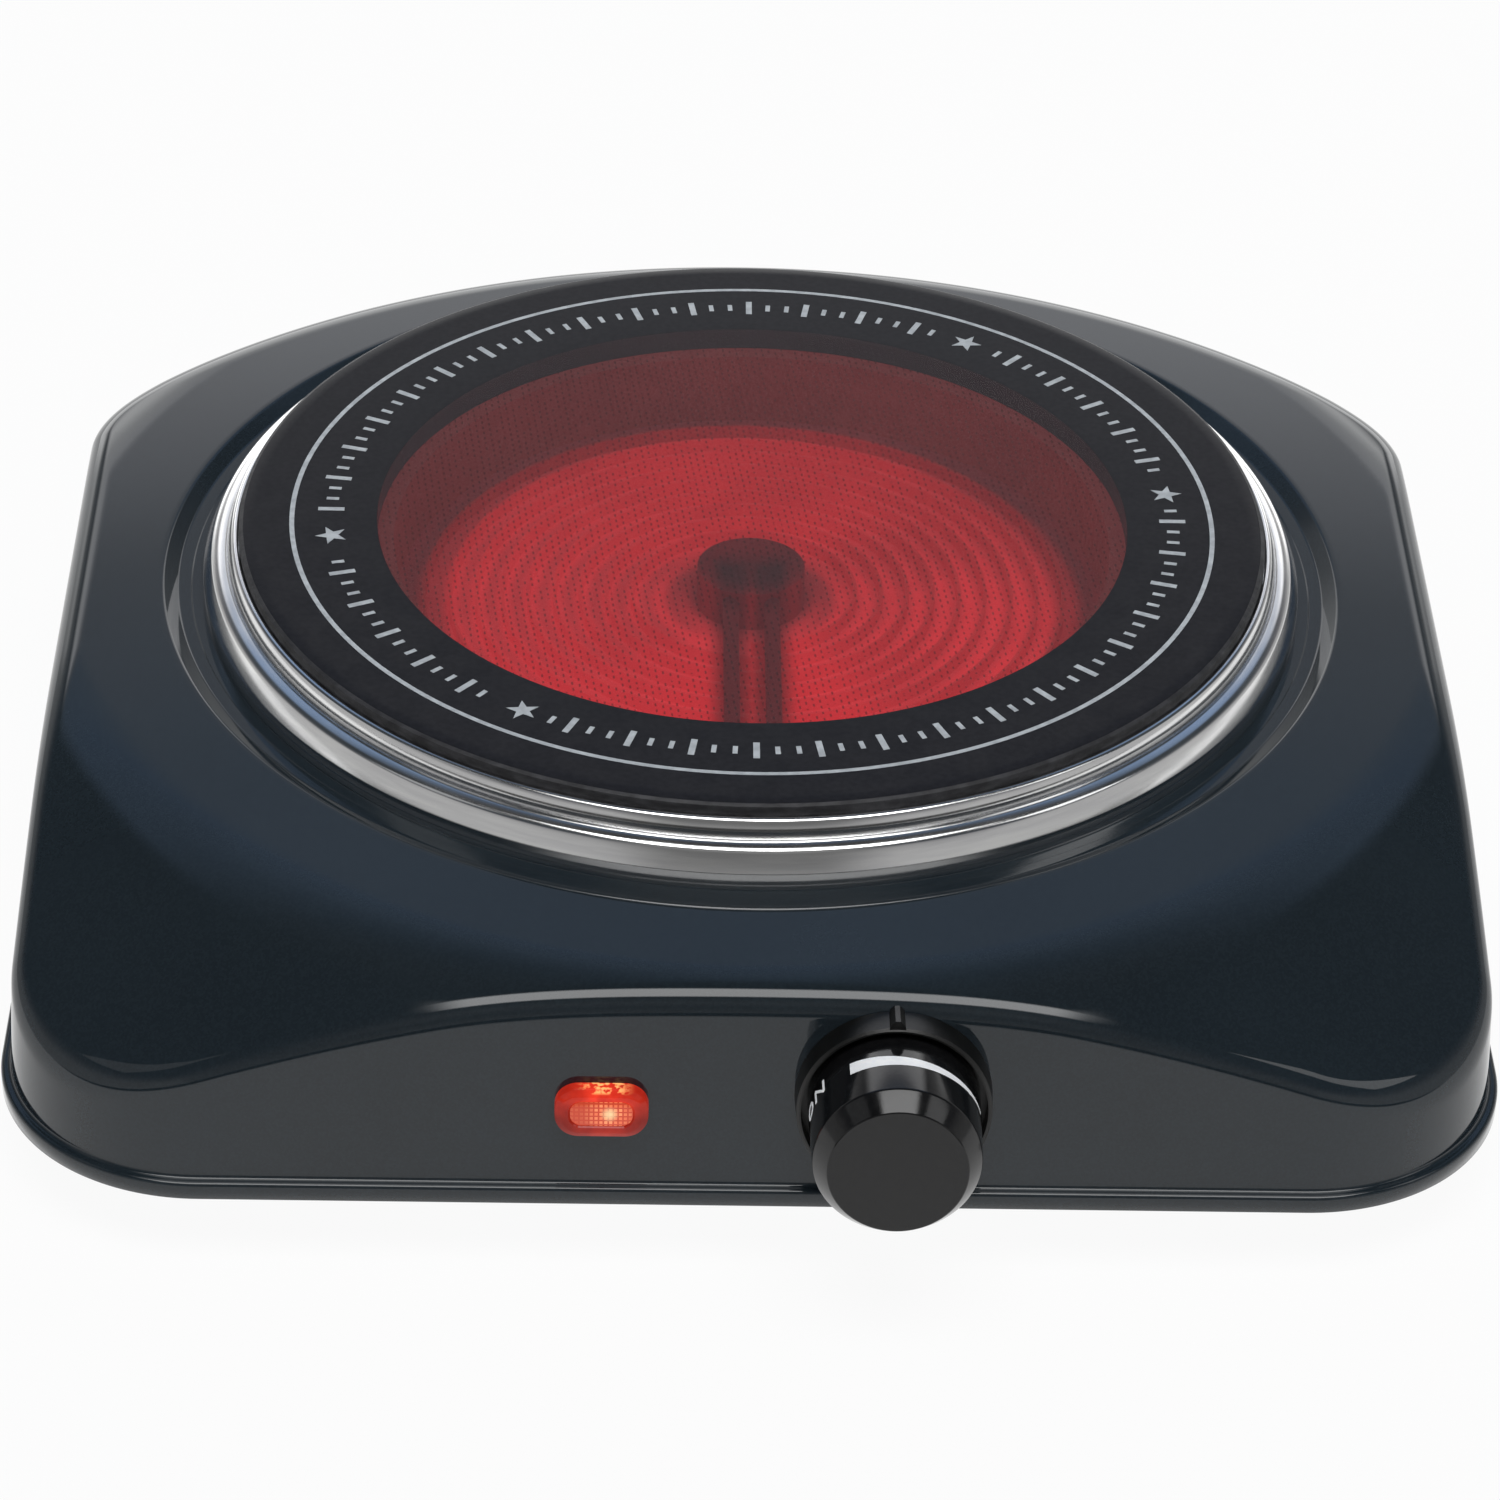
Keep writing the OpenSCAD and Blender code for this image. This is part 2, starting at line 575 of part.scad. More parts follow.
module knob_collar() color("#141516") at_knob() {
    r = collar_d / 2;
    draft = 0.2;
    difference() {
        union() {
            rotate_extrude($fn = fine) polygon([[0, 0], [r, 0], [r - draft, collar_h - 0.4],
                [r - draft - 0.4, collar_h], [0, collar_h]]);
            // Pointer rib on top
            translate([0, r - 1, 0]) linear_extrude(collar_h - 0.2)
                polygon([[-1.5, 0], [1.5, 0], [1.1, 1.4], [0.4, 2.1], [-0.4, 2.1], [-1.1, 1.4]]);
        }
        translate([0, 0, floor_t]) cylinder(r = r - collar_t, h = collar_h, $fn = fine);
        translate([0, 0, -1]) cylinder(r = bush_r + 0.2, h = collar_h, $fn = fine);
    }
}

module regulator_frame() color("#a9adb0") at_knob() difference() {
    union() {
        translate([-reg_w / 2, -reg_h / 2, z_reg]) cube([reg_w, reg_h, plate_t]);
        translate([0, 0, z_reg]) cylinder(r = bush_r, h = bush_len - z_reg, $fn = fine);
    }
    translate([0, 0, z_reg - 1]) cylinder(r = shaft_r + shaft_gap, h = bush_len * 2, $fn = fine);
}

module regulator_nut() color("#a9adb0") at_knob() translate([0, 0, floor_t])
    hex_nut(14, bush_r, 2.4);

module regulator_body() color("#d9d2bf") at_knob() difference() {
    translate([-reg_w / 2, -reg_h / 2, z_reg - reg_d]) cube([reg_w, reg_h, reg_d]);
    translate([-reg_w / 2 + reg_wall, -reg_h / 2 + reg_wall, z_reg - reg_d - 1])
        cube([reg_w - 2 * reg_wall, reg_h - 2 * reg_wall, reg_d + 1 - reg_wall]);
    translate([0, 0, z_reg - reg_d]) cylinder(r = shaft_r + shaft_gap, h = reg_d + 1, $fn = fine);
}

cover_t = 2;
z_cover = z_reg - reg_d - cover_t;
tab_x = 9;
module regulator_cover() color("#5b4636") at_knob() difference() {
    translate([-reg_w / 2, -reg_h / 2, z_cover]) cube([reg_w, reg_h, cover_t]);
    for (x = [-1, 1]) translate([x * tab_x - spade_w / 2, -spade_t / 2 - 4, z_cover - 1])
        cube([spade_w, spade_t, cover_t + 2]);
}

spade_out = 8;
module regulator_tabs() color("#c9a24a") at_knob() for (x = [-1, 1])
    translate([x * tab_x - spade_w / 2, -spade_t / 2 - 4, z_cover - spade_out])
        cube([spade_w, spade_t, spade_out + cover_t]);

shaft_tip = 17;
module regulator_shaft() color("#c2c5c8") at_knob() difference() {
    translate([0, 0, z_cover + cover_t + touch])
        cylinder(r = shaft_r, h = shaft_tip - z_cover - cover_t - touch, $fn = fine);
    translate([-shaft_r, shaft_r - 1.4, bush_len + 1]) cube([2 * shaft_r, shaft_r, shaft_tip]);
}

// Cam whose radius on the lever's side grows in step with the turn of the knob
module regulator_cam() color("#e8e4da") at_knob() translate([0, 0, z_cam]) difference() {
    span = knob_high - knob_low;
    linear_extrude(cam_t) polygon([for (i = [-10 : 5 : 350])
        let (u = min(1, max(0, i / span)), back = max(0, (i - span) / (350 - span)),
            r = cam_low + cam_rise * (u - min(1, back)), a = 180 - knob_high + i)
        [r * cos(a), r * sin(a)]]);
    translate([0, 0, -1]) cylinder(r = shaft_r, h = cam_t + 2, $fn = fine);
}

pin_r = 1;
module contact_lever() color("#d4af5a") at_knob() translate([0, 0, z_cam]) difference() {
    union() {
        translate([lever_x - 0.8, lever_y, 0]) cube([1.6, contact_y + 1.6 - lever_y, cam_t]);
        translate([lever_x, lever_y, 0]) cylinder(r = pin_r + 1.2, h = cam_t, $fn = fine);
        // Nose that follows the cam
        translate([lever_x, 0, 0]) linear_extrude(cam_t) polygon([[0, -1.4], [0, 1.4],
            [-lever_x - cam_mid - touch, 0.3], [-lever_x - cam_mid - touch, -0.3]]);
        // Contact button
        translate([lever_x - 0.8 - button_h, contact_y, cam_t / 2]) rotate([0, 90, 0])
            cylinder(r = 1.2, h = button_h + 0.4, $fn = fine);
    }
    translate([lever_x, lever_y, -1]) cylinder(r = pin_r + 0.05, h = cam_t + 2, $fn = fine);
}

module lever_pin() color("#c2c5c8") at_knob() translate([lever_x, lever_y, z_reg - reg_d])
    cylinder(r = pin_r, h = reg_d - reg_wall, $fn = fine);

module fixed_contact() color("#c9a24a") at_knob() translate([0, 0, z_cam]) {
    wall_x = -reg_w / 2 + reg_wall;
    reach_x = lever_x - 0.8 - button_h - lever_swing - touch;
    translate([wall_x, contact_y - 2.6, -3]) cube([0.8, 5.2, cam_t + 6]);
    translate([wall_x, contact_y, cam_t / 2]) rotate([0, 90, 0])
        cylinder(r = 1.2, h = reach_x - wall_x, $fn = fine);
}

module knob() color("#18191b") at_knob() difference() {
    r = knob_d / 2;
    rim_r = r - 0.4;
    z_back = floor_t + 1;
    z_rim = knob_reach - knob_bevel;
    face_r = knob_face_d / 2;
    roof = 3;
    bore_r = shaft_r + 0.02;
    union() {
        difference() {
            rotate_extrude($fn = 128) polygon(concat([[0, z_back], [r - 0.3, z_back],
                [r, z_back + 0.3], [rim_r, z_rim - 0.2]],
                bend(rim_r - 0.5, z_rim - 0.2, 0.5, 0, 40, 3),
                [[face_r, knob_reach - 0.25], [face_r - 0.3, knob_reach], [0, knob_reach]]));
            translate([0, 0, z_back - 1]) cylinder(r1 = r - 1.9, r2 = r - 2.6,
                h = z_rim - roof - z_back + 1, $fn = fine);
        }
        translate([0, 0, bush_len + 1.2])
            cylinder(r = shaft_r + 2.6, h = z_rim - roof - bush_len, $fn = fine);
    }
    difference() {
        translate([0, 0, z_back]) cylinder(r = bore_r, h = shaft_tip + 0.4 - z_back, $fn = fine);
        translate([-shaft_r - 1, shaft_r - 1.4 + 0.42, bush_len + 1])
            cube([2 * shaft_r + 2, shaft_r, shaft_tip]);
    }
}

// Leaf between the shaft's flat and the knob's bore
module knob_spring() color("#b9bcbf") at_knob()
    translate([-1.6, shaft_r - 1.4 + 0.02, bush_len + 2]) cube([3.2, 0.36, shaft_tip - bush_len - 3]);

// Plate with round ends, standing on z = 0
module stadium(w, h, t) {
    linear_extrude(t) rounded(w, h, h * 0.42);
}
module rounded(w, h, r) {
    square([w - 2 * r, h], center = true);
    square([w, h - 2 * r], center = true);
    for (x = [-1, 1], y = [-1, 1]) translate([x * (w / 2 - r), y * (h / 2 - r)])
        circle(r = r, $fn = fine);
}

lens_wall = 1;
module lamp_lens() color("#e5452b") at_lamp() difference() {
    union() {
        stadium(lens_w, lens_h, lens_out - 0.5);
        translate([0, 0, lens_out - 0.5]) stadium(lens_w - 0.8, lens_h - 0.8, 0.5);
        translate([-neck_w / 2, -neck_h / 2, -5]) cube([neck_w, neck_h, 5.2]);
    }
    translate([-neck_w / 2 + lens_wall, -neck_h / 2 + lens_wall, -6])
        cube([neck_w - 2 * lens_wall, neck_h - 2 * lens_wall, lens_out + 4.6]);
}

bulb_r = 1.7;
module lamp_bulb() color("#ff7a3c") at_lamp() translate([-4, 0, -3]) rotate([0, 90, 0])
    cylinder(r = bulb_r, h = 8, $fn = fine);

module lamp_body() color("#e9e7e0") at_lamp() difference() {
    translate([-neck_w / 2, -neck_h / 2, -5 - lamp_len + 8]) cube([neck_w, neck_h, lamp_len - 8]);
    translate([-4.2, -bulb_r - 0.1, -6.6]) cube([8.4, 2 * bulb_r + 0.2, 2]);
}

// Spring clips that hold the lens behind the panel
module lamp_clips() color("#1d1e20") at_lamp() for (x = [-1, 1])
    translate([x * (neck_w / 2 + 0.5) - 0.5, -neck_h / 2, -4.6])
        cube([1, neck_h, 4.6 - sheet - panel_gap]);

module mains_terminal() color("#e7e3d8") difference() {
    at_disc() translate([-term_w / 2, term_y, z_plate]) cube([term_w, term_d, term_h]);
    for (x = [-1 : 1]) at_disc() {
        translate([x * 9, term_y - 1, z_plate + 4]) rotate([-90, 0, 0])
            cylinder(r = 1.8, h = term_d + 2, $fn = fine);
        translate([x * 9, term_y + term_d / 2, z_plate + 5])
            cylinder(r = 1.9, h = term_h, $fn = fine);
    }
}

module terminal_screws() color("#b9bcbf") for (x = [-1 : 1]) at_disc()
    translate([x * 9, term_y + term_d / 2, z_plate + 6]) difference() {
        cylinder(r = 1.9, h = 3.4, $fn = fine);
        translate([-2, -0.3, 2.6]) cube([4, 0.6, 2]);
    }

// Frame of the cord inlet: origin on the outer face of the back wall, +Z out of it
module at_inlet() {
    translate([0, disc_y + back_flat - tan(side_lean) * inlet_z, z_ledge + inlet_z])
        rotate([side_lean - 90, 0, 0]) children();
}
// Rubber grommet where the mains cord enters
module cord_grommet() color("#1a1a1b") at_inlet() {
    flange_t = 1.6;
    gap = 0.1;
    rotate_extrude($fn = fine) polygon([[cord_r, -sheet - gap - flange_t],
        [inlet_r + 2, -sheet - gap - flange_t], [inlet_r + 2, -sheet - gap],
        [inlet_r - gap, -sheet - gap], [inlet_r - gap, gap], [inlet_r + 2, gap],
        [inlet_r + 2, gap + flange_t - 0.5], [inlet_r + 1.5, gap + flange_t],
        [cord_r, gap + flange_t]]);
}

module earth_screw() color("#c9a24a") at_height(z_plate - sheet) translate([earth_x, earth_y, 0])
    screw_up(3.4, 1.8, screw_r, sheet + 0.8 + small_nut_h + 0.8);
module earth_nut() color("#c9a24a") at_height(z_plate + 0.8) translate([earth_x, earth_y, 0])
    hex_nut(7, screw_r, small_nut_h);
tag_l = 12;
module earth_tag() color("#c9a24a") at_height(z_plate) translate([earth_x, earth_y, 0])
    difference() {
        union() {
            cylinder(r = 4, h = 0.8, $fn = fine);
            translate([-tag_l, -1.6, 0]) cube([tag_l, 3.2, 0.8]);
        }
        translate([0, 0, -1]) cylinder(r = screw_r + 0.1, h = 3, $fn = fine);
    }

// Smooth route through chosen points, and a round wire along it
function spline_at(p, i, t) = let (
    a = p[max(0, i - 1)], b = p[i], c = p[i + 1], d = p[min(len(p) - 1, i + 2)])
    0.5 * (2 * b + (c - a) * t + (2 * a - 5 * b + 4 * c - d) * t * t
        + (3 * b - a - 3 * c + d) * t * t * t);
function route(p, n) = concat(
    [for (i = [0 : len(p) - 2], j = [0 : n - 1]) spline_at(p, i, j / n)], [p[len(p) - 1]]);
module wire(p, r) {
    path = route(p, 5);
    n = len(path);
    sides = 8;
    rings = [for (i = [0 : n - 1]) let (
        along = path[min(n - 1, i + 1)] - path[max(0, i - 1)],
        t = along / norm(along),
        ref = abs(t[2]) > 0.9 ? [0, 1, 0] : [0, 0, 1],
        u = cross(t, ref) / norm(cross(t, ref)), v = cross(t, u))
        [for (k = [0 : sides - 1])
            path[i] + r * (cos(360 * k / sides) * u + sin(360 * k / sides) * v)]];
    points = [for (ring = rings) each ring];
    skin = [for (i = [0 : n - 2], k = [0 : sides - 1]) let (
        a = i * sides + k, b = i * sides + (k + 1) % sides)
        each [[a, a + sides, b + sides], [a, b + sides, b]]];
    at_disc() polyhedron(points, concat(skin,
        [[for (k = [0 : sides - 1]) k]],
        [[for (k = [sides - 1 : -1 : 0]) (n - 1) * sides + k]]), convexity = 6);
}

// Ends of the wires, about the heater's axis
function from_knob(x, y, z) = [knob_x + x,
    -front_y + tan(lean) * knob_z + y * sin(lean) - z * cos(lean),
    z_ledge + knob_z + y * cos(lean) + z * sin(lean)];
function from_lamp(x, y, z) = [lamp_x + x,
    -front_y + tan(lean) * lamp_z + y * sin(lean) - z * cos(lean),
    z_ledge + lamp_z + y * cos(lean) + z * sin(lean)];
side_x = half_w - 22;
turn_x = half_w - 64;
mid_y = (corner_y - front_y + front_corner_r) / 2;
low_y = front_corner_r + 36 - front_y;
near_y = 40 - front_y;
wire_z = z_plate + 4;
tab_y = -dish_r - block_d / 2;
tab_z = block_low - tab_drop - touch;
lamp_back = -5 - lamp_len + 8 - 0.5;

module live_wire() color("#7a4a2a") wire([[9, term_y - touch, wire_z], [14, term_y - 6, wire_z],
    [turn_x, term_y - 8, wire_z], [side_x - 4, corner_y, wire_z], [side_x, mid_y, wire_z],
    [side_x - 8, low_y, wire_z], [turn_x, near_y, wire_z + 4], from_knob(tab_x + 4, -4, z_cover - spade_out - 9),
    from_knob(tab_x, -4, z_cover - spade_out - 4),
    from_knob(tab_x, -4, z_cover - spade_out - touch)], wire_r);

module load_wire() color("#b03a2e") wire([from_knob(-tab_x, -4, z_cover - spade_out - touch),
    from_knob(-tab_x, -4, z_cover - spade_out - 3), [knob_x - 13, tab_y, tab_z - 7],
    [5.6, tab_y, tab_z - 4], [5.6, tab_y, tab_z]], wire_r);

module neutral_wire() color("#3a5f9a") wire([[-9, term_y - touch, wire_z],
    [-14, term_y - 6, wire_z], [-turn_x, term_y - 8, wire_z], [4 - side_x, corner_y, wire_z],
    [-side_x, mid_y, wire_z], [8 - side_x, low_y, wire_z], [8 - turn_x, near_y, wire_z + 2],
    [-12, tab_y - 2, tab_z - 9], [-5.6, tab_y, tab_z - 4], [-5.6, tab_y, tab_z]], wire_r);

module lamp_wires() color("#c8c4ba") {
    wire([from_lamp(3, 0, lamp_back), from_lamp(3, 0, lamp_back - 5),
        [-7, tab_y - 6, wire_z + 5], [4, tab_y - 7, wire_z + 3],
        from_knob(-tab_x - 2, -10, z_cover - 6), from_knob(-tab_x - 2, -4.6 - wire_r, z_cover - 3)],
        0.8);
    wire([from_lamp(-3, 0, lamp_back), from_lamp(-3, 0, lamp_back - 5),
        [-20, tab_y - 8, wire_z + 14], [-12, tab_y - 5, tab_z - 2],
        [-5.6 - 2, tab_y - spade_t - 1, tab_z + 4]], 0.8);
}

module earth_wire() color("#5f8f3f") wire([[0, term_y - touch, wire_z], [0, term_y - 3, wire_z + 1],
    [4, term_y - 7, wire_z + 5], [12, term_y - 6, wire_z + 6], [19, term_y - 1, wire_z + 2],
    [earth_x - tag_l - touch, earth_y, z_plate + wire_r + 0.1]], wire_r);

module foot_at(f) color("#1c1c1d") at_disc() translate([f[0], f[1], 0])
    difference() {
        h = z_plate - sheet;
        union() {
            cylinder(r1 = foot_d / 2 - 1.6, r2 = foot_d / 2 - 1, h = 1, $fn = fine);
            translate([0, 0, 1]) cylinder(r1 = foot_d / 2 - 1, r2 = foot_d / 2, h = h - 1, $fn = fine);
        }
        translate([0, 0, -1]) cylinder(r = 4.4, h = h - 3, $fn = fine);
        cylinder(r = screw_r + 0.1, h = h + 1, $fn = fine);
    }
module foot_front_left() { foot_at(feet[0]); }
module foot_front_right() { foot_at(feet[1]); }
module foot_back_left() { foot_at(feet[2]); }
module foot_back_right() { foot_at(feet[3]); }

module foot_screws() color("#b4b7ba") for (f = feet)
    at_height(z_plate - sheet - 4) translate([f[0], f[1], 0])
        screw_up(3.6, 1.8, screw_r, 4 + sheet + small_nut_h + 0.6);
module foot_nuts() color("#b4b7ba") for (f = feet)
    at_height(z_plate) translate([f[0], f[1], 0]) hex_nut(7, screw_r, small_nut_h);

module base_screws() color("#b4b7ba") for (f = fixings)
    translate([f[0], f[1] + disc_y, z_plate - sheet]) screw_up(3.4, 1.8, screw_r - 0.05, 6);

top_housing();
base_plate();
trim_ring();
glass_seal();
glass_plate();
heater_dish();
insulation_base();
insulation_rim();
heater_ribbon();
centre_block();
lead_rods();
terminal_block();
heater_tabs();
heat_shield();
cross_bracket();
dish_stud();
dish_spacer();
stud_nut();
bracket_screws();
bracket_nuts();
knob_collar();
regulator_frame();
regulator_nut();
regulator_body();
regulator_cover();
regulator_tabs();
regulator_shaft();
regulator_cam();
contact_lever();
lever_pin();
fixed_contact();
knob();
knob_spring();
lamp_lens();
lamp_bulb();
lamp_body();
lamp_clips();
mains_terminal();
terminal_screws();
cord_grommet();
earth_screw();
earth_nut();
earth_tag();
live_wire();
load_wire();
neutral_wire();
lamp_wires();
earth_wire();
foot_front_left();
foot_front_right();
foot_back_left();
foot_back_right();
foot_screws();
foot_nuts();
base_screws();
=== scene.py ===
from math import atan, atan2, cos, degrees, hypot, pi, radians, sin, sqrt, tan

import bpy
from mathutils import Matrix, Vector


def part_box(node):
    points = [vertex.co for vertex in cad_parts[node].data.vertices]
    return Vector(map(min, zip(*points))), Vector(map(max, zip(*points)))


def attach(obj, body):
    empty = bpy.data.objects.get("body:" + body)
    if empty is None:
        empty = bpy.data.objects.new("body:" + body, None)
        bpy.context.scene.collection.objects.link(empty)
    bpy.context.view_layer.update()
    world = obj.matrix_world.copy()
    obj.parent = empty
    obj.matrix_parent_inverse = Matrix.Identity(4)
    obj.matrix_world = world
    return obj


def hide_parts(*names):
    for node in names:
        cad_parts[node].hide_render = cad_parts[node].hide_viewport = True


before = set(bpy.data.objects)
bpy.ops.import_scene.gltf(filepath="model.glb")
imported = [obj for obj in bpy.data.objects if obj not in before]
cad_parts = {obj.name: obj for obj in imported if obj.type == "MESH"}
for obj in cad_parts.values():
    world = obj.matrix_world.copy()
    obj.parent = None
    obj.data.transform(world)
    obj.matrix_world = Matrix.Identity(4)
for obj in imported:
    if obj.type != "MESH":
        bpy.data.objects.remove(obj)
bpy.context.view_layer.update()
discY = sum(corner[1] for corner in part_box("glass_plate")) / 2 * 1000   # heater axis, mm from the middle
print("frame loaded, heater axis at y", round(discY, 3))

# View: camera place and aim worked out for a 1500 x 1500 frame
view = {"place": (-19.36, -805.39, 566.16), "yaw": 1.4, "pitch": 33.98627, "roll": 1.599, "lens": 131.554}

camData = bpy.data.cameras.new("viewCamera")
camData.lens = view["lens"]
camData.sensor_width = 36
camData.clip_start = 0.05
camera = bpy.data.objects.new("viewCamera", camData)
bpy.context.collection.objects.link(camera)
yaw, pitch, roll = (radians(view[k]) for k in ("yaw", "pitch", "roll"))
turnYaw = Matrix.Rotation(-yaw, 3, "Z")
aim = turnYaw @ Vector((0, cos(pitch), -sin(pitch)))
flatUp = turnYaw @ Vector((0, sin(pitch), cos(pitch)))
flatRight = turnYaw @ Vector((1, 0, 0))
camUp = cos(roll) * flatUp - sin(roll) * flatRight
camRight = cos(roll) * flatRight + sin(roll) * flatUp
pose = Matrix((camRight, camUp, -aim)).transposed().to_4x4()
pose.translation = Vector(view["place"]) / 1000
camera.matrix_world = pose
bpy.context.scene.camera = camera
bpy.context.scene.view_settings.view_transform = "Standard"


# Helpers for materials: a finish starts from its own Principled shader
def newFinish(name, colour, roughness=0.5, metallic=0.0, **sockets):
    mat = bpy.data.materials.new(name)
    mat.use_nodes = True
    shader = mat.node_tree.nodes["Principled BSDF"]
    shader.inputs["Base Color"].default_value = (*colour, 1)
    shader.inputs["Roughness"].default_value = roughness
    shader.inputs["Metallic"].default_value = metallic
    for key, value in sockets.items():
        shader.inputs[key.replace("_", " ")].default_value = value
    return mat


def addNode(mat, kind, **settings):
    node = mat.node_tree.nodes.new("ShaderNode" + kind)
    for key, value in settings.items():
        if key in node.inputs:
            node.inputs[key].default_value = value
        else:
            setattr(node, key, value)
    return node


def wire(mat, source, target):
    mat.node_tree.links.new(source, target)


def shaderOf(mat):
    return mat.node_tree.nodes["Principled BSDF"]


def place(mat, **settings):     # object coordinates, moved and scaled by a Mapping node's own settings
    mapping = addNode(mat, "Mapping", **settings)
    wire(mat, addNode(mat, "TexCoord").outputs["Object"], mapping.inputs["Vector"])
    return mapping.outputs["Vector"]


def noiseAt(mat, scale, detail=3.0, stretch=(1, 1, 1)):
    noise = addNode(mat, "TexNoise", Scale=scale, Detail=detail)
    wire(mat, place(mat, Scale=stretch), noise.inputs["Vector"])
    return noise.outputs["Fac"]


def rampOf(mat, fac, stops):
    ramp = addNode(mat, "ValToRGB")
    while len(ramp.color_ramp.elements) < len(stops):
        ramp.color_ramp.elements.new(0.5)
    for element, (at, colour) in zip(ramp.color_ramp.elements, stops):
        element.position = at
        element.color = (*colour, 1)
    wire(mat, fac, ramp.inputs["Fac"])
    return ramp.outputs["Color"]


def maths(mat, op, *values):
    node = addNode(mat, "Math", operation=op)
    for i, v in enumerate(values):
        if isinstance(v, (int, float)):
            node.inputs[i].default_value = v
        else:
            wire(mat, v, node.inputs[i])
    return node.outputs["Value"]


def product(mat, first, *others):
    for other in others:
        first = maths(mat, "MULTIPLY", first, other)
    return first


def lengthOf(mat, a, b):     # of a vector with these two parts
    return maths(mat, "SQRT", maths(mat, "ADD", product(mat, a, a), product(mat, b, b)))


def mixed(mat, share, under, over):     # each one a socket or a value
    mix = addNode(mat, "Mix", data_type="RGBA")
    for key, v in (("Factor", share), ("A", under), ("B", over)):
        if isinstance(v, tuple):
            mix.inputs[key].default_value = (*v, 1)
        elif isinstance(v, float):
            mix.inputs[key].default_value = v
        else:
            wire(mat, v, mix.inputs[key])
    return mix.outputs["Result"]


def fade(mat, value, low, high, start=0.0, end=1.0):     # smooth step from start to end
    node = addNode(mat, "MapRange", interpolation_type="SMOOTHSTEP")
    for key, v in (("From Min", low), ("From Max", high), ("To Min", start), ("To Max", end)):
        node.inputs[key].default_value = v
    wire(mat, value, node.inputs["Value"])
    return node.outputs["Result"]


def axes(mat, vector):
    split = addNode(mat, "SeparateXYZ")
    wire(mat, vector, split.inputs["Vector"])
    return split.outputs


def bumpFrom(mat, height, strength, distance):
    bump = addNode(mat, "Bump", Strength=strength, Distance=distance)
    wire(mat, height, bump.inputs["Height"])
    wire(mat, bump.outputs["Normal"], shaderOf(mat).inputs["Normal"])


def grey(v):
    return (v, v, v)


# Colour and roughness that wander between two values
def varied(mat, low, high, scale, detail=3.0, stretch=(1, 1, 1), spread=(0.35, 0.65)):
    fac = noiseAt(mat, scale, detail, stretch)
    wire(mat, rampOf(mat, fac, [(spread[0], low), (spread[1], high)]), shaderOf(mat).inputs["Base Color"])


def roughVaried(mat, low, high, scale, stretch=(1, 1, 1)):
    fac = noiseAt(mat, scale, 2.0, stretch)
    wire(mat, rampOf(mat, fac, [(0.3, grey(low)), (0.7, grey(high))]), shaderOf(mat).inputs["Roughness"])


# Helpers for meshes
def makeObject(name, verts, faces, mats, faceMats=None, smooth=True, sharp=None):
    mesh = bpy.data.meshes.new(name)
    mesh.from_pydata([(x / 1000, y / 1000, z / 1000) for x, y, z in verts], [], faces)
    for mat in mats:
        mesh.materials.append(mat)
    if faceMats:
        mesh.polygons.foreach_set("material_index", faceMats)
    mesh.polygons.foreach_set("use_smooth", [smooth] * len(mesh.polygons))
    if sharp:
        mesh.set_sharp_from_angle(angle=radians(sharp))
    mesh.update()
    obj = bpy.data.objects.new(name, mesh)
    bpy.context.collection.objects.link(obj)
    return obj


def arcPoints(x, y, r, a0, a1, n):
    return [(x + r * cos(radians(a0 + (a1 - a0) * i / n)), y + r * sin(radians(a0 + (a1 - a0) * i / n)))
            for i in range(n + 1)]


def onHeater(p):     # a point given from the heater's axis
    return (p[0], p[1] + discY, p[2])


# Turned shape about the local Z axis, from a closed profile
def lathe(name, profile, mats, steps, at=onHeater, pickMat=None, sharp=40):
    k = len(profile)
    verts = [at((r * cos(2 * pi * i / steps), r * sin(2 * pi * i / steps), z))
             for i in range(steps) for r, z in profile]
    faces, picks = [], []
    for i in range(steps):
        j = (i + 1) % steps
        for m in range(k):
            n = (m + 1) % k
            faces.append((i * k + m, j * k + m, j * k + n, i * k + n))
            picks.append(pickMat(m) if pickMat else 0)
    return makeObject(name, verts, faces, mats, picks, True, sharp)


# Corners of an outline rounded, each with its own radius, in n steps
def rounded(points, radii, n):
    out = []
    for i, (p, r) in enumerate(zip(points, radii)):
        a, b = points[i - 1], points[(i + 1) % len(points)]
        if not r:
            out.append(p)
            continue
        u, v = Vector((a[0] - p[0], a[1] - p[1])), Vector((b[0] - p[0], b[1] - p[1]))
        half = u.angle(v) / 2
        cut = min(r / tan(half), u.length * 0.45, v.length * 0.45)
        r = cut * tan(half)
        u.normalize()
        v.normalize()
        mid = Vector(p) + (u + v).normalized() * (r / sin(half))
        s, e = Vector(p) + u * cut - mid, Vector(p) + v * cut - mid
        turn = atan2(s.x * e.y - s.y * e.x, s.dot(e))
        for q in range(n + 1):
            w = turn * q / n
            out.append((mid.x + s.x * cos(w) - s.y * sin(w), mid.y + s.x * sin(w) + s.y * cos(w)))
    return out


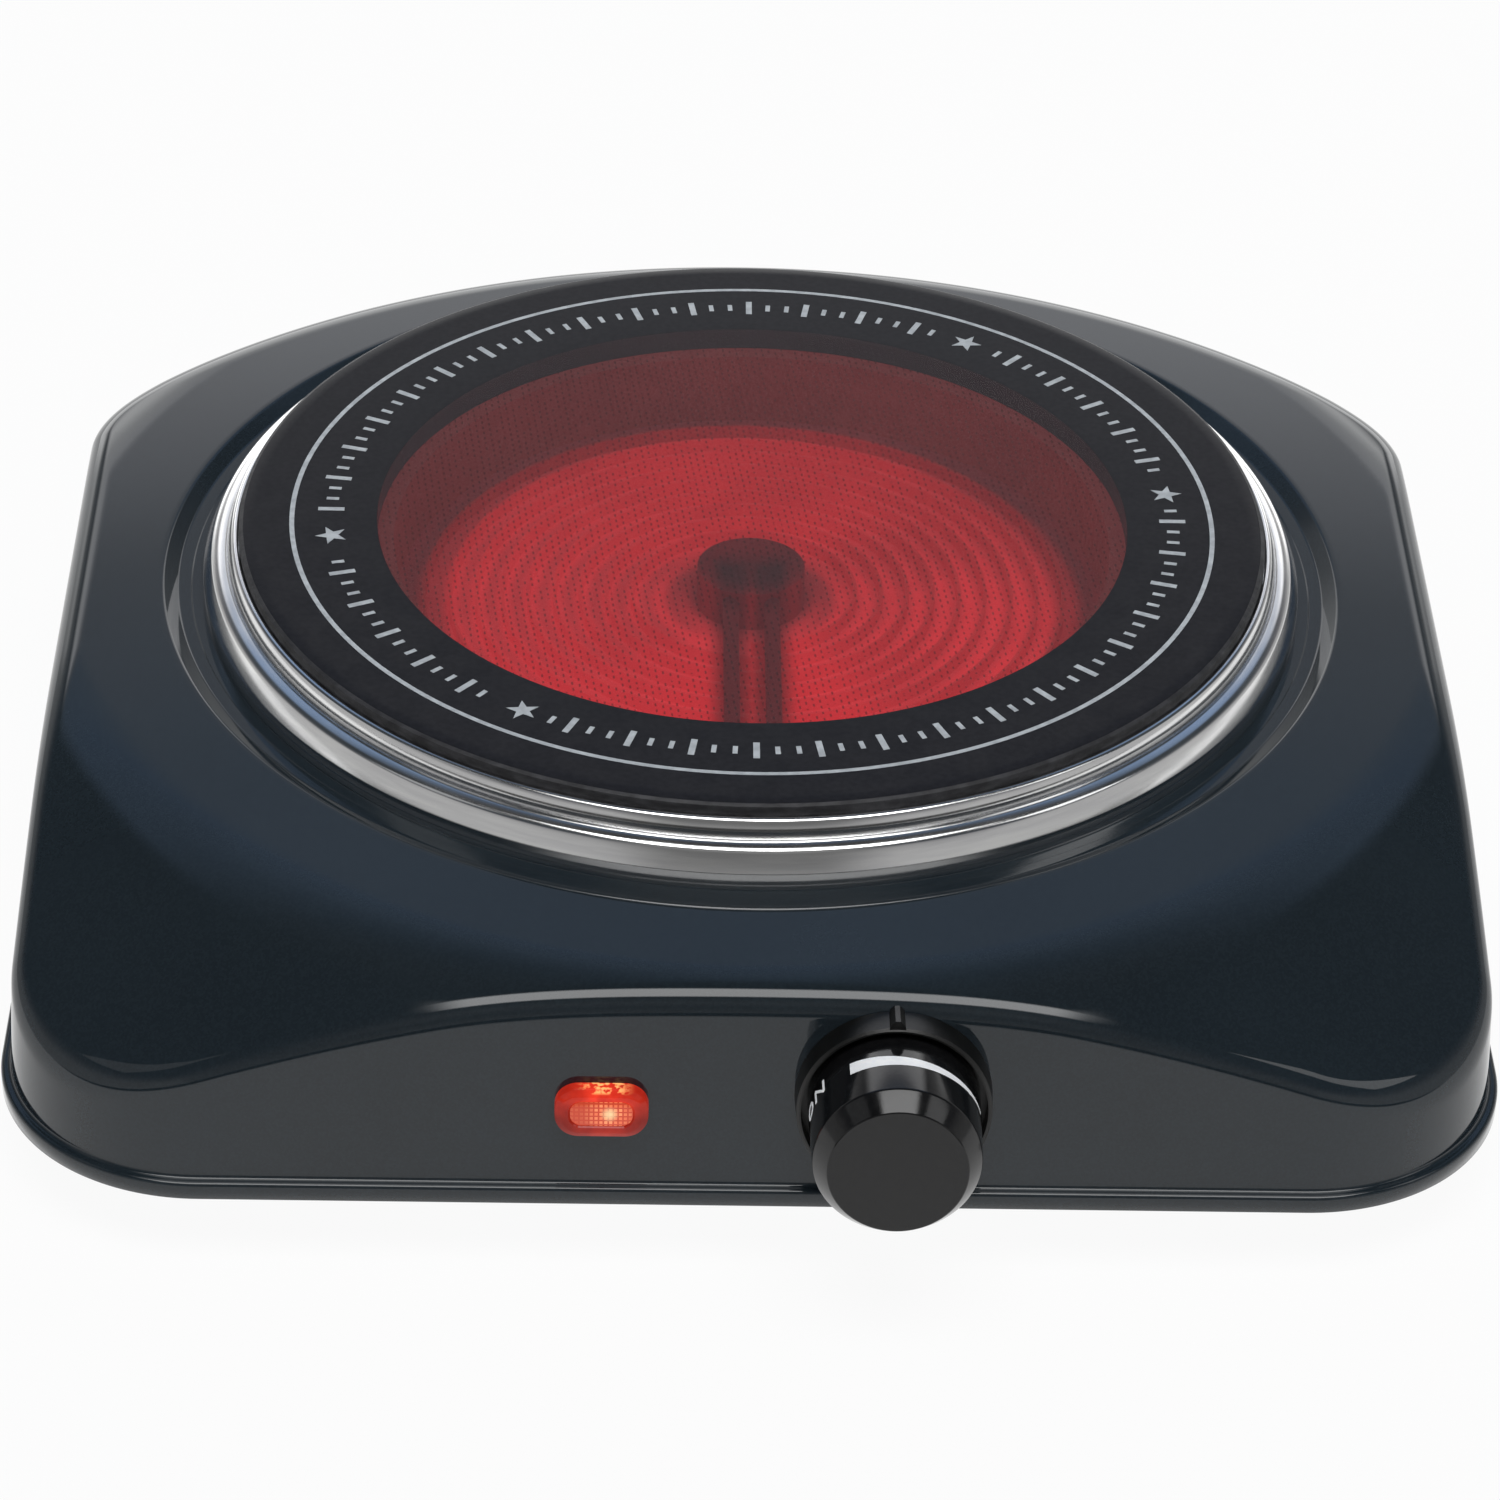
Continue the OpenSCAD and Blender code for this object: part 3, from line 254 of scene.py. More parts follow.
# Pressed and painted housing, drawn again with finer curves than its solid
housingSizes = {"width": 248, "depth": 250, "front": 131.2, "bottom": 12, "skirt": 3.2, "height": 36,
                "ledge": 1.7, "sheet": 0.8, "lean": 4.5, "sideLean": 3, "frontCorner": 33, "backCorner": 36,
                "backArc": 155, "edge": 5, "edgeCorner": 9, "edgeBack": 9, "fall": 29, "fallRadius": 127,
                "fallBlend": 16, "ledgeRadii": (0.7, 0.75), "hole": 93.2, "grooveDepth": 1.6,
                "grooveRadius": 103.4, "grooveWall": 2.6, "grooveRib": 0.14, "ribWidth": 2.2,
                "grooveRadii": (0, 0.1, 0.1, 0.9, 1.1, 0),
                "planSteps": {"front": 120, "frontCorner": 44, "side": 66, "backCorner": 30, "back": 130},
                "topSteps": 26, "rollSteps": 14, "wallSteps": 10, "innerSteps": 6}


# Outline of the bottom edge: points with the direction that the wall faces there, in degrees
def housingPlan(s):
    w, f = s["width"] / 2 - s["ledge"], s["front"] - s["ledge"]
    b = s["depth"] - s["front"] - s["ledge"]
    rf, rb, rk = s["frontCorner"], s["backCorner"], s["backArc"]
    arcY = b - rk
    cornerY = arcY + sqrt((rk - rb) ** 2 - (w - rb) ** 2)
    bend = degrees(atan2(cornerY - arcY, w - rb))
    fx, fy, bx = w - rf, -f + rf, w - rb
    steps = s["planSteps"]
    plan = []

    def line(a, c, normal, n):
        plan.extend((a[0] + (c[0] - a[0]) * i / n, a[1] + (c[1] - a[1]) * i / n, normal) for i in range(n))

    def arc(x, y, r, a0, a1, n):
        for i in range(n):
            a = a0 + (a1 - a0) * i / n
            plan.append((x + r * cos(radians(a)), y + r * sin(radians(a)), a))

    line((-fx, -f), (fx, -f), -90, steps["front"])
    arc(fx, fy, rf, -90, 0, steps["frontCorner"])
    line((w, fy), (w, cornerY), 0, steps["side"])
    arc(bx, cornerY, rb, 0, bend, steps["backCorner"])
    arc(0, arcY, rk, bend, 180 - bend, steps["back"])
    arc(-bx, cornerY, rb, 180 - bend, 180, steps["backCorner"])
    line((-w, cornerY), (-w, fy), 180, steps["side"])
    arc(-fx, fy, rf, 180, 270, steps["frontCorner"])
    return plan


def smoothStep(t):
    t = min(1, max(0, t))
    return t * t * (3 - 2 * t)


# How far the top has fallen at a radius from the heater's axis, and its slope there
def topDrop(s, r):
    start, slope = s["fallRadius"] - s["fallBlend"] / 2, tan(radians(s["fall"]))
    if r < start:
        return 0, 0
    if r < start + s["fallBlend"]:
        return slope * (r - start) ** 2 / (2 * s["fallBlend"]), slope * (r - start) / s["fallBlend"]
    return slope * (r - s["fallRadius"]), slope


# Rolled edge between wall and top: inset and height of its centre, radius, and its two end angles
def edgeOf(s, p):
    ledgeZ = s["bottom"] + s["skirt"]
    topZ = ledgeZ + s["height"]
    off = (p[2] + 450) % 360     # degrees from straight ahead
    off = min(off, 360 - off)
    lean = radians(s["lean"] + (s["sideLean"] - s["lean"]) * smoothStep(off / 90))
    roll = (s["edge"] + (s["edgeCorner"] - s["edge"]) * smoothStep(1 - abs(off - 45) / 45)
            + (s["edgeBack"] - s["edge"]) * smoothStep((off - 90) / 40))
    nx, ny = cos(radians(p[2])), sin(radians(p[2]))
    inset = 2 + roll
    for _ in range(5):     # settles on the height of the sloping top
        x, y = p[0] - inset * nx, p[1] - inset * ny
        r = hypot(x, y)
        fall, rate = topDrop(s, r)
        slope = rate * (x * nx + y * ny) / r
        z = (topZ - fall - slope * (ledgeZ * tan(lean) + inset)) / (1 - slope * tan(lean))
        turn = pi / 2 - atan(slope) - lean
        inset = (z - ledgeZ) * tan(lean) + roll * tan(turn / 2) * cos(atan(slope))
    d = roll * tan(turn / 2)
    return ((z - ledgeZ) * tan(lean) - d * sin(lean) + roll * cos(lean),
            z - d * cos(lean) - roll * sin(lean), roll, lean, pi / 2 - atan(slope))


# Section of the sheet at one point of the outline: groove, top, edge, wall, skirt, then back inside
def housingSection(s, p):
    ledgeZ = s["bottom"] + s["skirt"]
    topZ = ledgeZ + s["height"]
    grooveZ = topZ - s["grooveDepth"]
    plateZ = ledgeZ - s["sheet"]
    es, ez, roll, lean, end = edgeOf(s, p)
    az = atan2(p[1], p[0])
    nx, ny = cos(radians(p[2])), sin(radians(p[2]))
    led, sheet = s["ledge"], s["sheet"]

    def at(inset, z):
        return (p[0] - inset * nx, p[1] - inset * ny, z)

    def polar(r, z):
        return (r * cos(az), r * sin(az), z)

    g, ribZ = s["grooveRadius"], grooveZ + s["grooveRib"]
    ribOut = g - s["grooveWall"]
    ribIn = ribOut - s["ribWidth"]
    groove = rounded([(s["hole"], grooveZ), (ribIn - 0.2, grooveZ), (ribIn, ribZ), (ribOut, ribZ),
                      (g, topZ), (g + 3, topZ)], s["grooveRadii"], 6)[:-1]
    out = [polar(r, z) for r, z in groove]
    rim, q = polar(g + 1.2, 0), at(es - roll * cos(end), 0)
    for i in range(s["topSteps"]):
        u = i / s["topSteps"]
        x, y = rim[0] + (q[0] - rim[0]) * u, rim[1] + (q[1] - rim[1]) * u
        out.append((x, y, topZ - topDrop(s, hypot(x, y))[0]))
    for i in range(s["rollSteps"], -1, -1):
        b = lean + (end - lean) * i / s["rollSteps"]
        out.append(at(es - roll * cos(b), ez + roll * sin(b)))
    wallTop = (es - roll * cos(lean), ez + roll * sin(lean))
    foot = rounded([wallTop, (0, ledgeZ), (-led, ledgeZ), (-led, s["bottom"])], [0, *s["ledgeRadii"], 0], 6)
    inward, drop = foot[1][0] - wallTop[0], foot[1][1] - wallTop[1]
    for i in range(1, s["wallSteps"]):
        u = i / s["wallSteps"]
        out.append(at(wallTop[0] + inward * u, wallTop[1] + drop * u))
    out += [at(a, b) for a, b in foot[1:-1]]
    out += [at(-led, s["bottom"] + 0.2), at(0.2 - led, s["bottom"]), at(sheet - led - 0.2, s["bottom"]),
            at(sheet - led, s["bottom"] + 0.2), at(sheet - led, plateZ),
            at(sheet / cos(lean) - sheet * tan(lean), plateZ)]
    for i in range(s["innerSteps"] + 1):
        b = lean + (end - lean) * i / s["innerSteps"]
        out.append(at(es - (roll - sheet) * cos(b), ez + (roll - sheet) * sin(b)))
    for u in (0.75, 0.5, 0.25, 0):
        x, y = rim[0] + (q[0] - rim[0]) * u, rim[1] + (q[1] - rim[1]) * u
        fall, rate = topDrop(s, hypot(x, y))
        out.append((x, y, topZ - fall - sheet * sqrt(1 + rate * rate)))
    out += [polar(g + 0.3, topZ - sheet), polar(ribOut + 0.3, ribZ - sheet),
            polar(ribIn - 0.4, grooveZ - sheet), polar(s["hole"], grooveZ - sheet)]
    return out


# Gloss enamel with a fine metallic fleck under a clear coat
def makeEnamel():
    mat = newFinish("slateEnamel", (0.014, 0.021, 0.027), 0.5, 0.0, Coat_Weight=1.0, Coat_Roughness=0.04,
                    Coat_IOR=1.5, Specular_IOR_Level=0.0)
    fleck = addNode(mat, "TexVoronoi", Scale=2600.0)
    wire(mat, place(mat), fleck.inputs["Vector"])
    flake = rampOf(mat, fleck.outputs["Color"], [(0.3, grey(0.0)), (0.8, grey(1.0))])
    cloud = noiseAt(mat, 26.0, 2.0)
    deep = rampOf(mat, cloud, [(0.3, (0.0120, 0.0180, 0.0232)), (0.7, (0.0142, 0.0212, 0.0272))])
    flecked = mixed(mat, flake, deep, (0.028, 0.040, 0.050))
    wire(mat, mixed(mat, 0.2, deep, flecked), shaderOf(mat).inputs["Base Color"])
    bumpFrom(mat, noiseAt(mat, 420.0, 2.0), 0.012, 0.0003)
    return mat


def buildHousing(s):
    rings = [housingSection(s, p) for p in housingPlan(s)]
    n, k = len(rings), len(rings[0])
    verts = [(x, y + discY, z) for ring in rings for x, y, z in ring]
    faces = [(i * k + j, ((i + 1) % n) * k + j, ((i + 1) % n) * k + (j + 1) % k, i * k + (j + 1) % k)
             for i in range(n) for j in range(k)]
    return makeObject("topHousing", verts, faces, [makeEnamel()], None, True, 50)


housing = buildHousing(housingSizes)
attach(housing, "base")
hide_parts("top_housing")
print("housing built with", len(housing.data.polygons), "faces")


# Frame of a control on the leaning front panel: across, up along the panel, and out from it
def frontPoint(x, z):
    s = housingSizes
    front = s["front"] - s["ledge"]
    lean = radians(s["lean"])
    origin = (x, discY - front + tan(lean) * z, s["bottom"] + s["skirt"] + z)

    def at(p):
        return (origin[0] + p[0], origin[1] + p[1] * sin(lean) - p[2] * cos(lean),
                origin[2] + p[1] * cos(lean) + p[2] * sin(lean))
    return at


# Bright trim ring
# Arcs are given as radius, start and end angle, and each goes on from the last
trimSizes = {"glass": 90, "glassTop": 62, "glassThick": 4, "seal": 0.5, "seat": 84.2, "lipUp": 2.6,
             "lipIn": 0.13, "lipEdge": 0.35, "lipArcs": ((1.0, 100, 48), (0.3, 48, 32), (4.85, 32, 10)),
             "lipFall": 2.2, "groove": 92.3, "grooveDrop": 0.75, "bead": 0.2,
             "beadAt": (0.03, 0.10, 0.14, 0.20, 0.24),
             "sideArcs": ((4.0, 93, 63), (1.4, 63, 30), (26, 28, 20)),
             "floor": 49.6, "foot": 96.4, "sheet": 0.8}


def makeBright():
    mat = newFinish("polishedTrim", (0.80, 0.80, 0.80), 0.09, 1.0, Anisotropic=0.35)
    bumpFrom(mat, noiseAt(mat, 34.0, 2.0), 0.03, 0.0004)
    roughVaried(mat, 0.12, 0.19, 90.0, (1, 1, 9))
    varied(mat, (0.74, 0.74, 0.745), (0.84, 0.84, 0.835), 60.0, 3.0, (1, 1, 12))
    return mat


def carryOn(points, arcs, n):
    for radius, start, end in arcs:
        x, y = points[-1]
        x, y = x - radius * cos(radians(start)), y - radius * sin(radians(start))
        points += arcPoints(x, y, radius, start, end, n)[1:]
    return points


def buildTrim(s):
    seatZ = s["glassTop"] - s["glassThick"] - s["seal"]
    inner, top, edge = s["glass"] + s["lipIn"], seatZ + s["lipUp"], s["lipEdge"]
    grooveR, grooveZ = s["groove"], seatZ - s["grooveDrop"]
    t, footZ, foot = s["sheet"], s["floor"], s["foot"]
    skin = [(s["seat"], seatZ), (inner, seatZ)] + arcPoints(inner + edge, top - edge, edge, 180, 100, 6)
    carryOn(skin, s["lipArcs"], 10)
    lipR = skin[-1][0]
    beadZ = grooveZ + s["bead"]     # a fine bead lies in the groove
    groove = [(lipR, top - s["lipFall"])]
    groove += [(lipR + out, z) for out, z in zip(s["beadAt"], (grooveZ, grooveZ, beadZ, beadZ, grooveZ))]
    groove += [(grooveR - 0.04, grooveZ), (grooveR + 0.1, grooveZ + 0.25)]
    skin += rounded(groove, [0, 0.05, 0.04, 0.04, 0.04, 0.04, 0.06, 0], 3)[1:-1]
    skin += carryOn([(grooveR + 0.02, grooveZ + 0.22)], s["sideArcs"], 12)[1:]
    skin += [(foot - 0.1, footZ + 0.7), (foot, footZ + 0.3), (foot - 0.05, footZ)]
    inside = [(foot - t, footZ), (grooveR + 1.6, footZ + 3.4), (grooveR + 0.3, grooveZ - t - 0.3),
              (inner + 0.4, grooveZ - t), (inner - 0.6, seatZ - t), (s["seat"], seatZ - t)]
    return lathe("trimRing", skin + inside, [makeBright()], 360)


trim = buildTrim(trimSizes)
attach(trim, "base")
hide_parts("trim_ring")
print("trim ring built")

# Ceramic glass: black print outside, red window inside
glassSizes = {"radius": 90, "top": 61.97, "bottom": 58, "window": 65.8, "bevel": 0.5, "ink": 0.03,
              "ringRadius": 80.7, "ringWidth": 0.85, "tickIn": 71.6, "tickOut": 76.2, "tickCount": 132,
              "longEvery": 3, "longWidth": 1.1, "shortWidth": 0.84, "shortCut": 1.2,
              "starRadius": 2.9, "starWaist": 0.4, "starRoom": 4.2, "starAt": (57.1, 7.1, -121.6, -173.2)}


def makeBlackGlass():
    mat = newFinish("blackCeramic", (0.02, 0.0205, 0.0245), 0.16, 0.0, IOR=1.5, Specular_IOR_Level=0.035)
    roughVaried(mat, 0.14, 0.24, 180.0)
    varied(mat, (0.018, 0.0185, 0.022), (0.022, 0.0225, 0.0265), 900.0, 2.0)
    bumpFrom(mat, noiseAt(mat, 1500.0, 2.0), 0.03, 0.0001)
    return mat


def makeGroundEdge():
    mat = newFinish("groundEdge", (0.012, 0.012, 0.013), 0.55, 0.0)
    varied(mat, (0.012, 0.012, 0.014), (0.045, 0.045, 0.05), 260.0, 4.0, (1, 1, 2.5), (0.4, 0.75))
    bumpFrom(mat, noiseAt(mat, 380.0, 4.0), 0.5, 0.0006)
    return mat


# Half-clear red glass with rows of small dark dashes printed on it; its other faces are nearly clear
dashes = {"turn": -11, "across": 1.18, "along": 1.85, "halfWide": 0.14, "halfLong": 0.24,
          "alpha": 0.48, "extra": 0.26}


def makeWindowTop():
    mat = newFinish("redWindow", (0.06, 0.05, 0.055), 0.2, Alpha=0.45, IOR=1.5, Specular_IOR_Level=0.08)
    cells = place(mat, Rotation=(0, 0, radians(dashes["turn"])),
                  Scale=(1000 / dashes["across"], 1000 / dashes["along"], 1))
    across, along, _ = axes(mat, cells)
    shift = product(mat, maths(mat, "MODULO", maths(mat, "FLOOR", across), 2.0), 0.5)
    along = maths(mat, "ADD", along, shift)
    breakup = maths(mat, "GREATER_THAN", noiseAt(mat, 700.0, 1.0), 0.42)

    def within(v, half):     # near the middle of its cell
        away = maths(mat, "ABSOLUTE", maths(mat, "SUBTRACT", maths(mat, "FRACT", v), 0.5))
        return maths(mat, "LESS_THAN", away, half)

    dash = product(mat, within(across, dashes["halfWide"]), within(along, dashes["halfLong"]), breakup)
    alpha = maths(mat, "ADD", product(mat, dash, dashes["extra"]), dashes["alpha"])
    wire(mat, alpha, shaderOf(mat).inputs["Alpha"])
    haze = rampOf(mat, noiseAt(mat, 46.0, 3.0), [(0.3, (0.058, 0.046, 0.052)), (0.7, (0.068, 0.052, 0.058))])
    wire(mat, mixed(mat, dash, haze, (0.03, 0.028, 0.03)), shaderOf(mat).inputs["Base Color"])
    return mat


def makeWindowUnder():
    mat = newFinish("redWindowUnder", (0.06, 0.05, 0.055), 0.2, Alpha=0.02, IOR=1.5, Specular_IOR_Level=0.08)
    varied(mat, (0.05, 0.006, 0.008), (0.1, 0.012, 0.015), 200.0)
    return mat


def makeWhitePrint():
    mat = newFinish("palePrint", (0.46, 0.50, 0.53), 0.45, 0.0)
    varied(mat, (0.36, 0.39, 0.42), (0.50, 0.54, 0.57), 500.0, 3.0)
    return mat


def buildGlass(s):
    r, w, top, low, bev = s["radius"], s["window"], s["top"], s["bottom"], s["bevel"]
    profile = [(w, low), (r - bev, low), (r, low + bev), (r, top - bev * 1.6),
               (r - bev * 0.4, top - bev * 0.7), (r - bev * 1.6, top - 0.05), (r - bev * 1.9, top),
               (r - 3, top), (w, top)]
    plate = lathe("glassPlate", profile, [makeBlackGlass(), makeGroundEdge()], 360,
                  pickMat=lambda m: 1 if 1 <= m <= 4 else 0, sharp=25)
    window = lathe("heatWindow", [(0.01, low), (w - 0.02, low), (w - 0.02, top), (0.01, top)],
                   [makeWindowTop(), makeWindowUnder()], 180, pickMat=lambda m: 0 if m == 2 else 1, sharp=25)
    return plate, window


# Flat shapes of the print, as thin prisms lying on the glass
def flatShapes(name, outlines, z, mat, thick):
    verts, faces = [], []
    for outline in outlines:
        base, n = len(verts), len(outline)
        verts += [(x, y + discY, z + thick) for x, y in outline] + [(x, y + discY, z) for x, y in outline]
        faces.append(tuple(range(base, base + n)))
        faces.append(tuple(range(base + 2 * n - 1, base + n - 1, -1)))
        faces += [(base + n + i, base + n + (i + 1) % n, base + (i + 1) % n, base + i) for i in range(n)]
    return makeObject(name, verts, faces, [mat], None, False)


def towards(a):     # unit vector at an angle
    return Vector((cos(radians(a)), sin(radians(a))))


def tickOutline(s, i):
    a = 360 * i / s["tickCount"]
    cut, width = (0, s["longWidth"]) if i % s["longEvery"] == 0 else (s["shortCut"], s["shortWidth"])
    r0, r1 = s["tickIn"] + cut, s["tickOut"] - cut
    u, v = towards(a), towards(a + 90) * width / 2
    return [tuple(u * r0 - v), tuple(u * r1 - v), tuple(u * r1 + v), tuple(u * r0 + v)]


def starOutline(s, a):
    centre = towards(a) * (s["tickIn"] + s["tickOut"]) / 2
    reach = (s["starRadius"], s["starRadius"] * s["starWaist"])
    return [tuple(centre + towards(a + 36 * j) * reach[j % 2]) for j in range(10)]


def clearOfStars(s, i):
    a = 360 * i / s["tickCount"]
    return all(abs((a - star + 180) % 360 - 180) >= s["starRoom"] for star in s["starAt"])


def buildPrint(s):
    mat = makeWhitePrint()
    inner, outer, low = s["ringRadius"] - s["ringWidth"] / 2, s["ringRadius"] + s["ringWidth"] / 2, s["top"]
    line = lathe("ringLine", [(inner, low), (outer, low), (outer, low + s["ink"]), (inner, low + s["ink"])],
                 [mat], 360, sharp=30)
    shapes = [tickOutline(s, i) for i in range(s["tickCount"]) if clearOfStars(s, i)]
    shapes += [starOutline(s, a) for a in s["starAt"]]
    return line, flatShapes("ringMarks", shapes, low, mat, s["ink"])


for piece in (*buildGlass(glassSizes), *buildPrint(glassSizes)):
    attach(piece, "base")
    if piece.name == "glassPlate":
        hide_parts("glass_plate")
print("glass and print built")

# Knob with its bevelled face and the marks on its skirt
knobSizes = {"x": 22, "z": 17.4, "radius": 13.8, "taper": 0.4, "face": 11.1, "reach": 22, "bevel": 3.4,
             "back": 2.4, "backWidth": 2.4, "rounding": (0.2, 0.4, 0.9, 0.35, 0), "hub": 5.6,
             "paint": 0.03, "sunk": 0.02}
wedgeSizes = {"start": -33.7, "sweep": 112, "back": 8.6, "arch": 1.5, "thin": 0.3, "thick": 2.7, "steps": 60}
wordSizes = {"middle": 8.6, "height": 2.9, "pen": 0.25, "raise": 0.05, "steps": 6}
# Words with their angle from the top, letter width and gap
words = {"wordOn": ("ON", -71.5, 3.0, 1.1), "wordOff": ("OFF", 135, 2.6, 0.9)}


def makeKnobPlastic():
    mat = newFinish("knobPlastic", (0.006, 0.006, 0.0065), 0.12, 0.0, Specular_IOR_Level=0.42)
    roughVaried(mat, 0.09, 0.15, 240.0)
    varied(mat, (0.0045, 0.0045, 0.005), (0.0080, 0.0080, 0.0085), 1400.0, 2.0)
    bumpFrom(mat, noiseAt(mat, 2200.0, 3.0), 0.05, 0.0001)
    return mat


def makeWhiteMark():
    # painted light: a faint white glow of their own makes the marks read brighter than their lighting gives
    mat = newFinish("whiteMark", (0.86, 0.88, 0.89), 0.4, Emission_Color=(1, 1, 1, 1), Emission_Strength=0.12)
    varied(mat, (0.80, 0.82, 0.84), (0.88, 0.90, 0.92), 900.0)
    return mat


def buildKnobBody(s):
    r, rim, zRim, top = s["radius"], s["radius"] - s["taper"], s["reach"] - s["bevel"], s["reach"]
    profile = rounded([(r - s["backWidth"], s["back"]), (r, s["back"]), (rim, zRim), (s["face"], top),
                       (0.01, top)], s["rounding"], 6)
    profile += [(0.01, top - 3), (s["hub"] - 3, top - 6), (s["hub"], top - 6.2), (s["hub"], 9.2),
                (s["hub"] + 0.1, 16.5), (r - 3.2, 15.6)]
    return lathe("knobBody", profile, [makeKnobPlastic()], 192, at=frontPoint(s["x"], s["z"]), sharp=38)


# A point on the knob's skirt: angle from the top, distance from the panel, height over the surface
def onSkirt(s, a, z, lift):
    r = s["radius"] - s["taper"] * (z - s["back"]) / (s["reach"] - s["bevel"] - s["back"]) + lift
    return frontPoint(s["x"], s["z"])((r * sin(radians(a)), r * cos(radians(a)), z))


def buildWedge(s, w, mat):
    verts, faces = [], []
    for i in range(w["steps"] + 1):
        u = i / w["steps"]
        a, z0 = w["start"] + w["sweep"] * u, w["back"] + w["arch"] * sin(pi * u * 0.9)
        z1 = z0 + w["thin"] + w["thick"] * (1 - u) ** 0.8
        verts += [onSkirt(s, a, z, lift) for z, lift in ((z0, s["paint"]), (z1, s["paint"]), (z1, -s["sunk"]),
                                                         (z0, -s["sunk"]))]
    for b in range(0, len(verts) - 4, 4):
        faces += [(b + j, b + (j + 1) % 4, b + 4 + (j + 1) % 4, b + 4 + j) for j in range(4)]
    faces += [(3, 2, 1, 0), tuple(len(verts) - 4 + j for j in range(4))]
    return makeObject("heatWedge", verts, faces, [mat], None, False)


# Letters are thin strokes on a square of one by one, laid along the skirt and read from the left side
letters = {"O": [[(0.5 + 0.42 * cos(t * pi / 8), 0.5 + 0.5 * sin(t * pi / 8)) for t in range(17)]],
           "N": [[(0.05, 0), (0.05, 1), (0.9, 0), (0.9, 1)]],
           "F": [[(0.1, 0), (0.1, 1), (0.8, 1)], [(0.1, 0.52), (0.65, 0.52)]]}


def buildWord(s, w, name, text, angle, width, gap, mat):
    verts, faces = [], []
    length = len(text) * width + (len(text) - 1) * gap

    def spot(q, lift):     # q runs along the word, then up the letters
        z = w["middle"] + w["height"] / 2 - q.y
        return onSkirt(s, angle + degrees((q.x - length / 2) / s["radius"]), z, lift)

    for i, ch in enumerate(text):
        for stroke in letters[ch]:
            pts = [Vector((i * (width + gap) + x * width, y * w["height"])) for x, y in stroke]
            steps = [p.lerp(q, k / w["steps"]) for p, q in zip(pts[:-1], pts[1:]) for k in range(w["steps"])]
            steps.append(pts[-1])
            for a, b in zip(steps[:-1], steps[1:]):     # short steps keep to the curve
                ahead = (b - a).normalized() * w["pen"]
                side = Vector((-ahead.y, ahead.x))
                start, end, n = a - ahead / 2, b + ahead / 2, len(verts)
                quad = (start - side, end - side, end + side, start + side)
                verts += [spot(q, lift) for lift in (w["raise"], -s["sunk"]) for q in quad]
                faces += [(n, n + 1, n + 2, n + 3), (n + 7, n + 6, n + 5, n + 4)]
                faces += [(n + j, n + 4 + j, n + 4 + (j + 1) % 4, n + (j + 1) % 4) for j in range(4)]
    return makeObject(name, verts, faces, [mat], None, False)


knobBody = buildKnobBody(knobSizes)
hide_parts("knob")
white = makeWhiteMark()
marks = [buildWedge(knobSizes, wedgeSizes, white)]
marks += [buildWord(knobSizes, wordSizes, name, *word, white) for name, word in words.items()]
for piece in (knobBody, *marks):
    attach(piece, "turning_knob")
print("knob built")

# Signal lamp lens; its layers are given as what they lack in width, height and reach
lensSizes = {"x": -24.5, "z": 14.6, "width": 15, "height": 9, "out": 2.5, "neckWidth": 12, "neckHeight": 6,
             "neckGap": 0.5, "neckDepth": 5, "corner": 0.42, "cornerSteps": 12, "gridPitch": 0.78,
             "shell": ((0, 0, 0.9), (0.25, 0.25, 0.5), (1.7, 1.7, 0.12), (2.4, 2.4, 0), (4.4, 4, 0),
                       (4.9, 4.5, 0.35)),
             "grid": ((5, 4.6, 0.9), (5, 4.6, 0.25), (5.6, 5.2, 0.12))}
lensGlow = {"middle": (0.5, 0), "rise": (-1.5, 3.4, 0.58, 1.3), "aside": (1.5, 6.0, 1.0, 0.55),
            "glintRise": (3.75, 4.3), "glintAside": (5.0, 2.0), "glintSpots": (0.42, 0.6),
            "bulb": (1.3, 0.2), "bulbOuter": (1.8, 4.6, 0.0, 0.85), "bulbInner": (1.7, 0.1, 0.0, 0.75)}


# Distances across and up from a point of the lens, in millimetres
def lensPlace(mat, x, z):
    across, _, up = axes(mat, addNode(mat, "TexCoord").outputs["Object"])
    s = lensSizes
    zMid = housingSizes["bottom"] + housingSizes["skirt"] + s["z"] + z
    return [product(mat, maths(mat, "SUBTRACT", v, middle / 1000), 1000)
            for v, middle in ((across, s["x"] + x), (up, zMid))]


def makeLensRed():
    mat = newFinish("lensRed", (0.10, 0.004, 0.003), 0.12, 0.0, Emission_Strength=1.0, Specular_IOR_Level=0.2,
                    Coat_Weight=0.12, Coat_Roughness=0.03)
    glow = rampOf(mat, noiseAt(mat, 330.0, 3.0), [(0.3, (0.38, 0.012, 0.006)), (0.7, (0.66, 0.034, 0.014))])
    across, up = lensPlace(mat, *lensGlow["middle"])
    aside = maths(mat, "ABSOLUTE", across)
    # painted highlight: glints along the lens's top edge, and the glow rising towards its top, are painted
    # into the lamp's own red glow
    glint = product(mat, fade(mat, up, *lensGlow["glintRise"]), fade(mat, aside, *lensGlow["glintAside"]),
                    fade(mat, noiseAt(mat, 900.0, 2.0), *lensGlow["glintSpots"]))
    lit = product(mat, fade(mat, up, *lensGlow["rise"]), fade(mat, aside, *lensGlow["aside"]))
    wire(mat, lit, shaderOf(mat).inputs["Emission Strength"])
    wire(mat, mixed(mat, glint, glow, (1.0, 0.42, 0.14)), shaderOf(mat).inputs["Emission Color"])
    varied(mat, (0.10, 0.005, 0.003), (0.16, 0.010, 0.006), 220.0)
    return mat


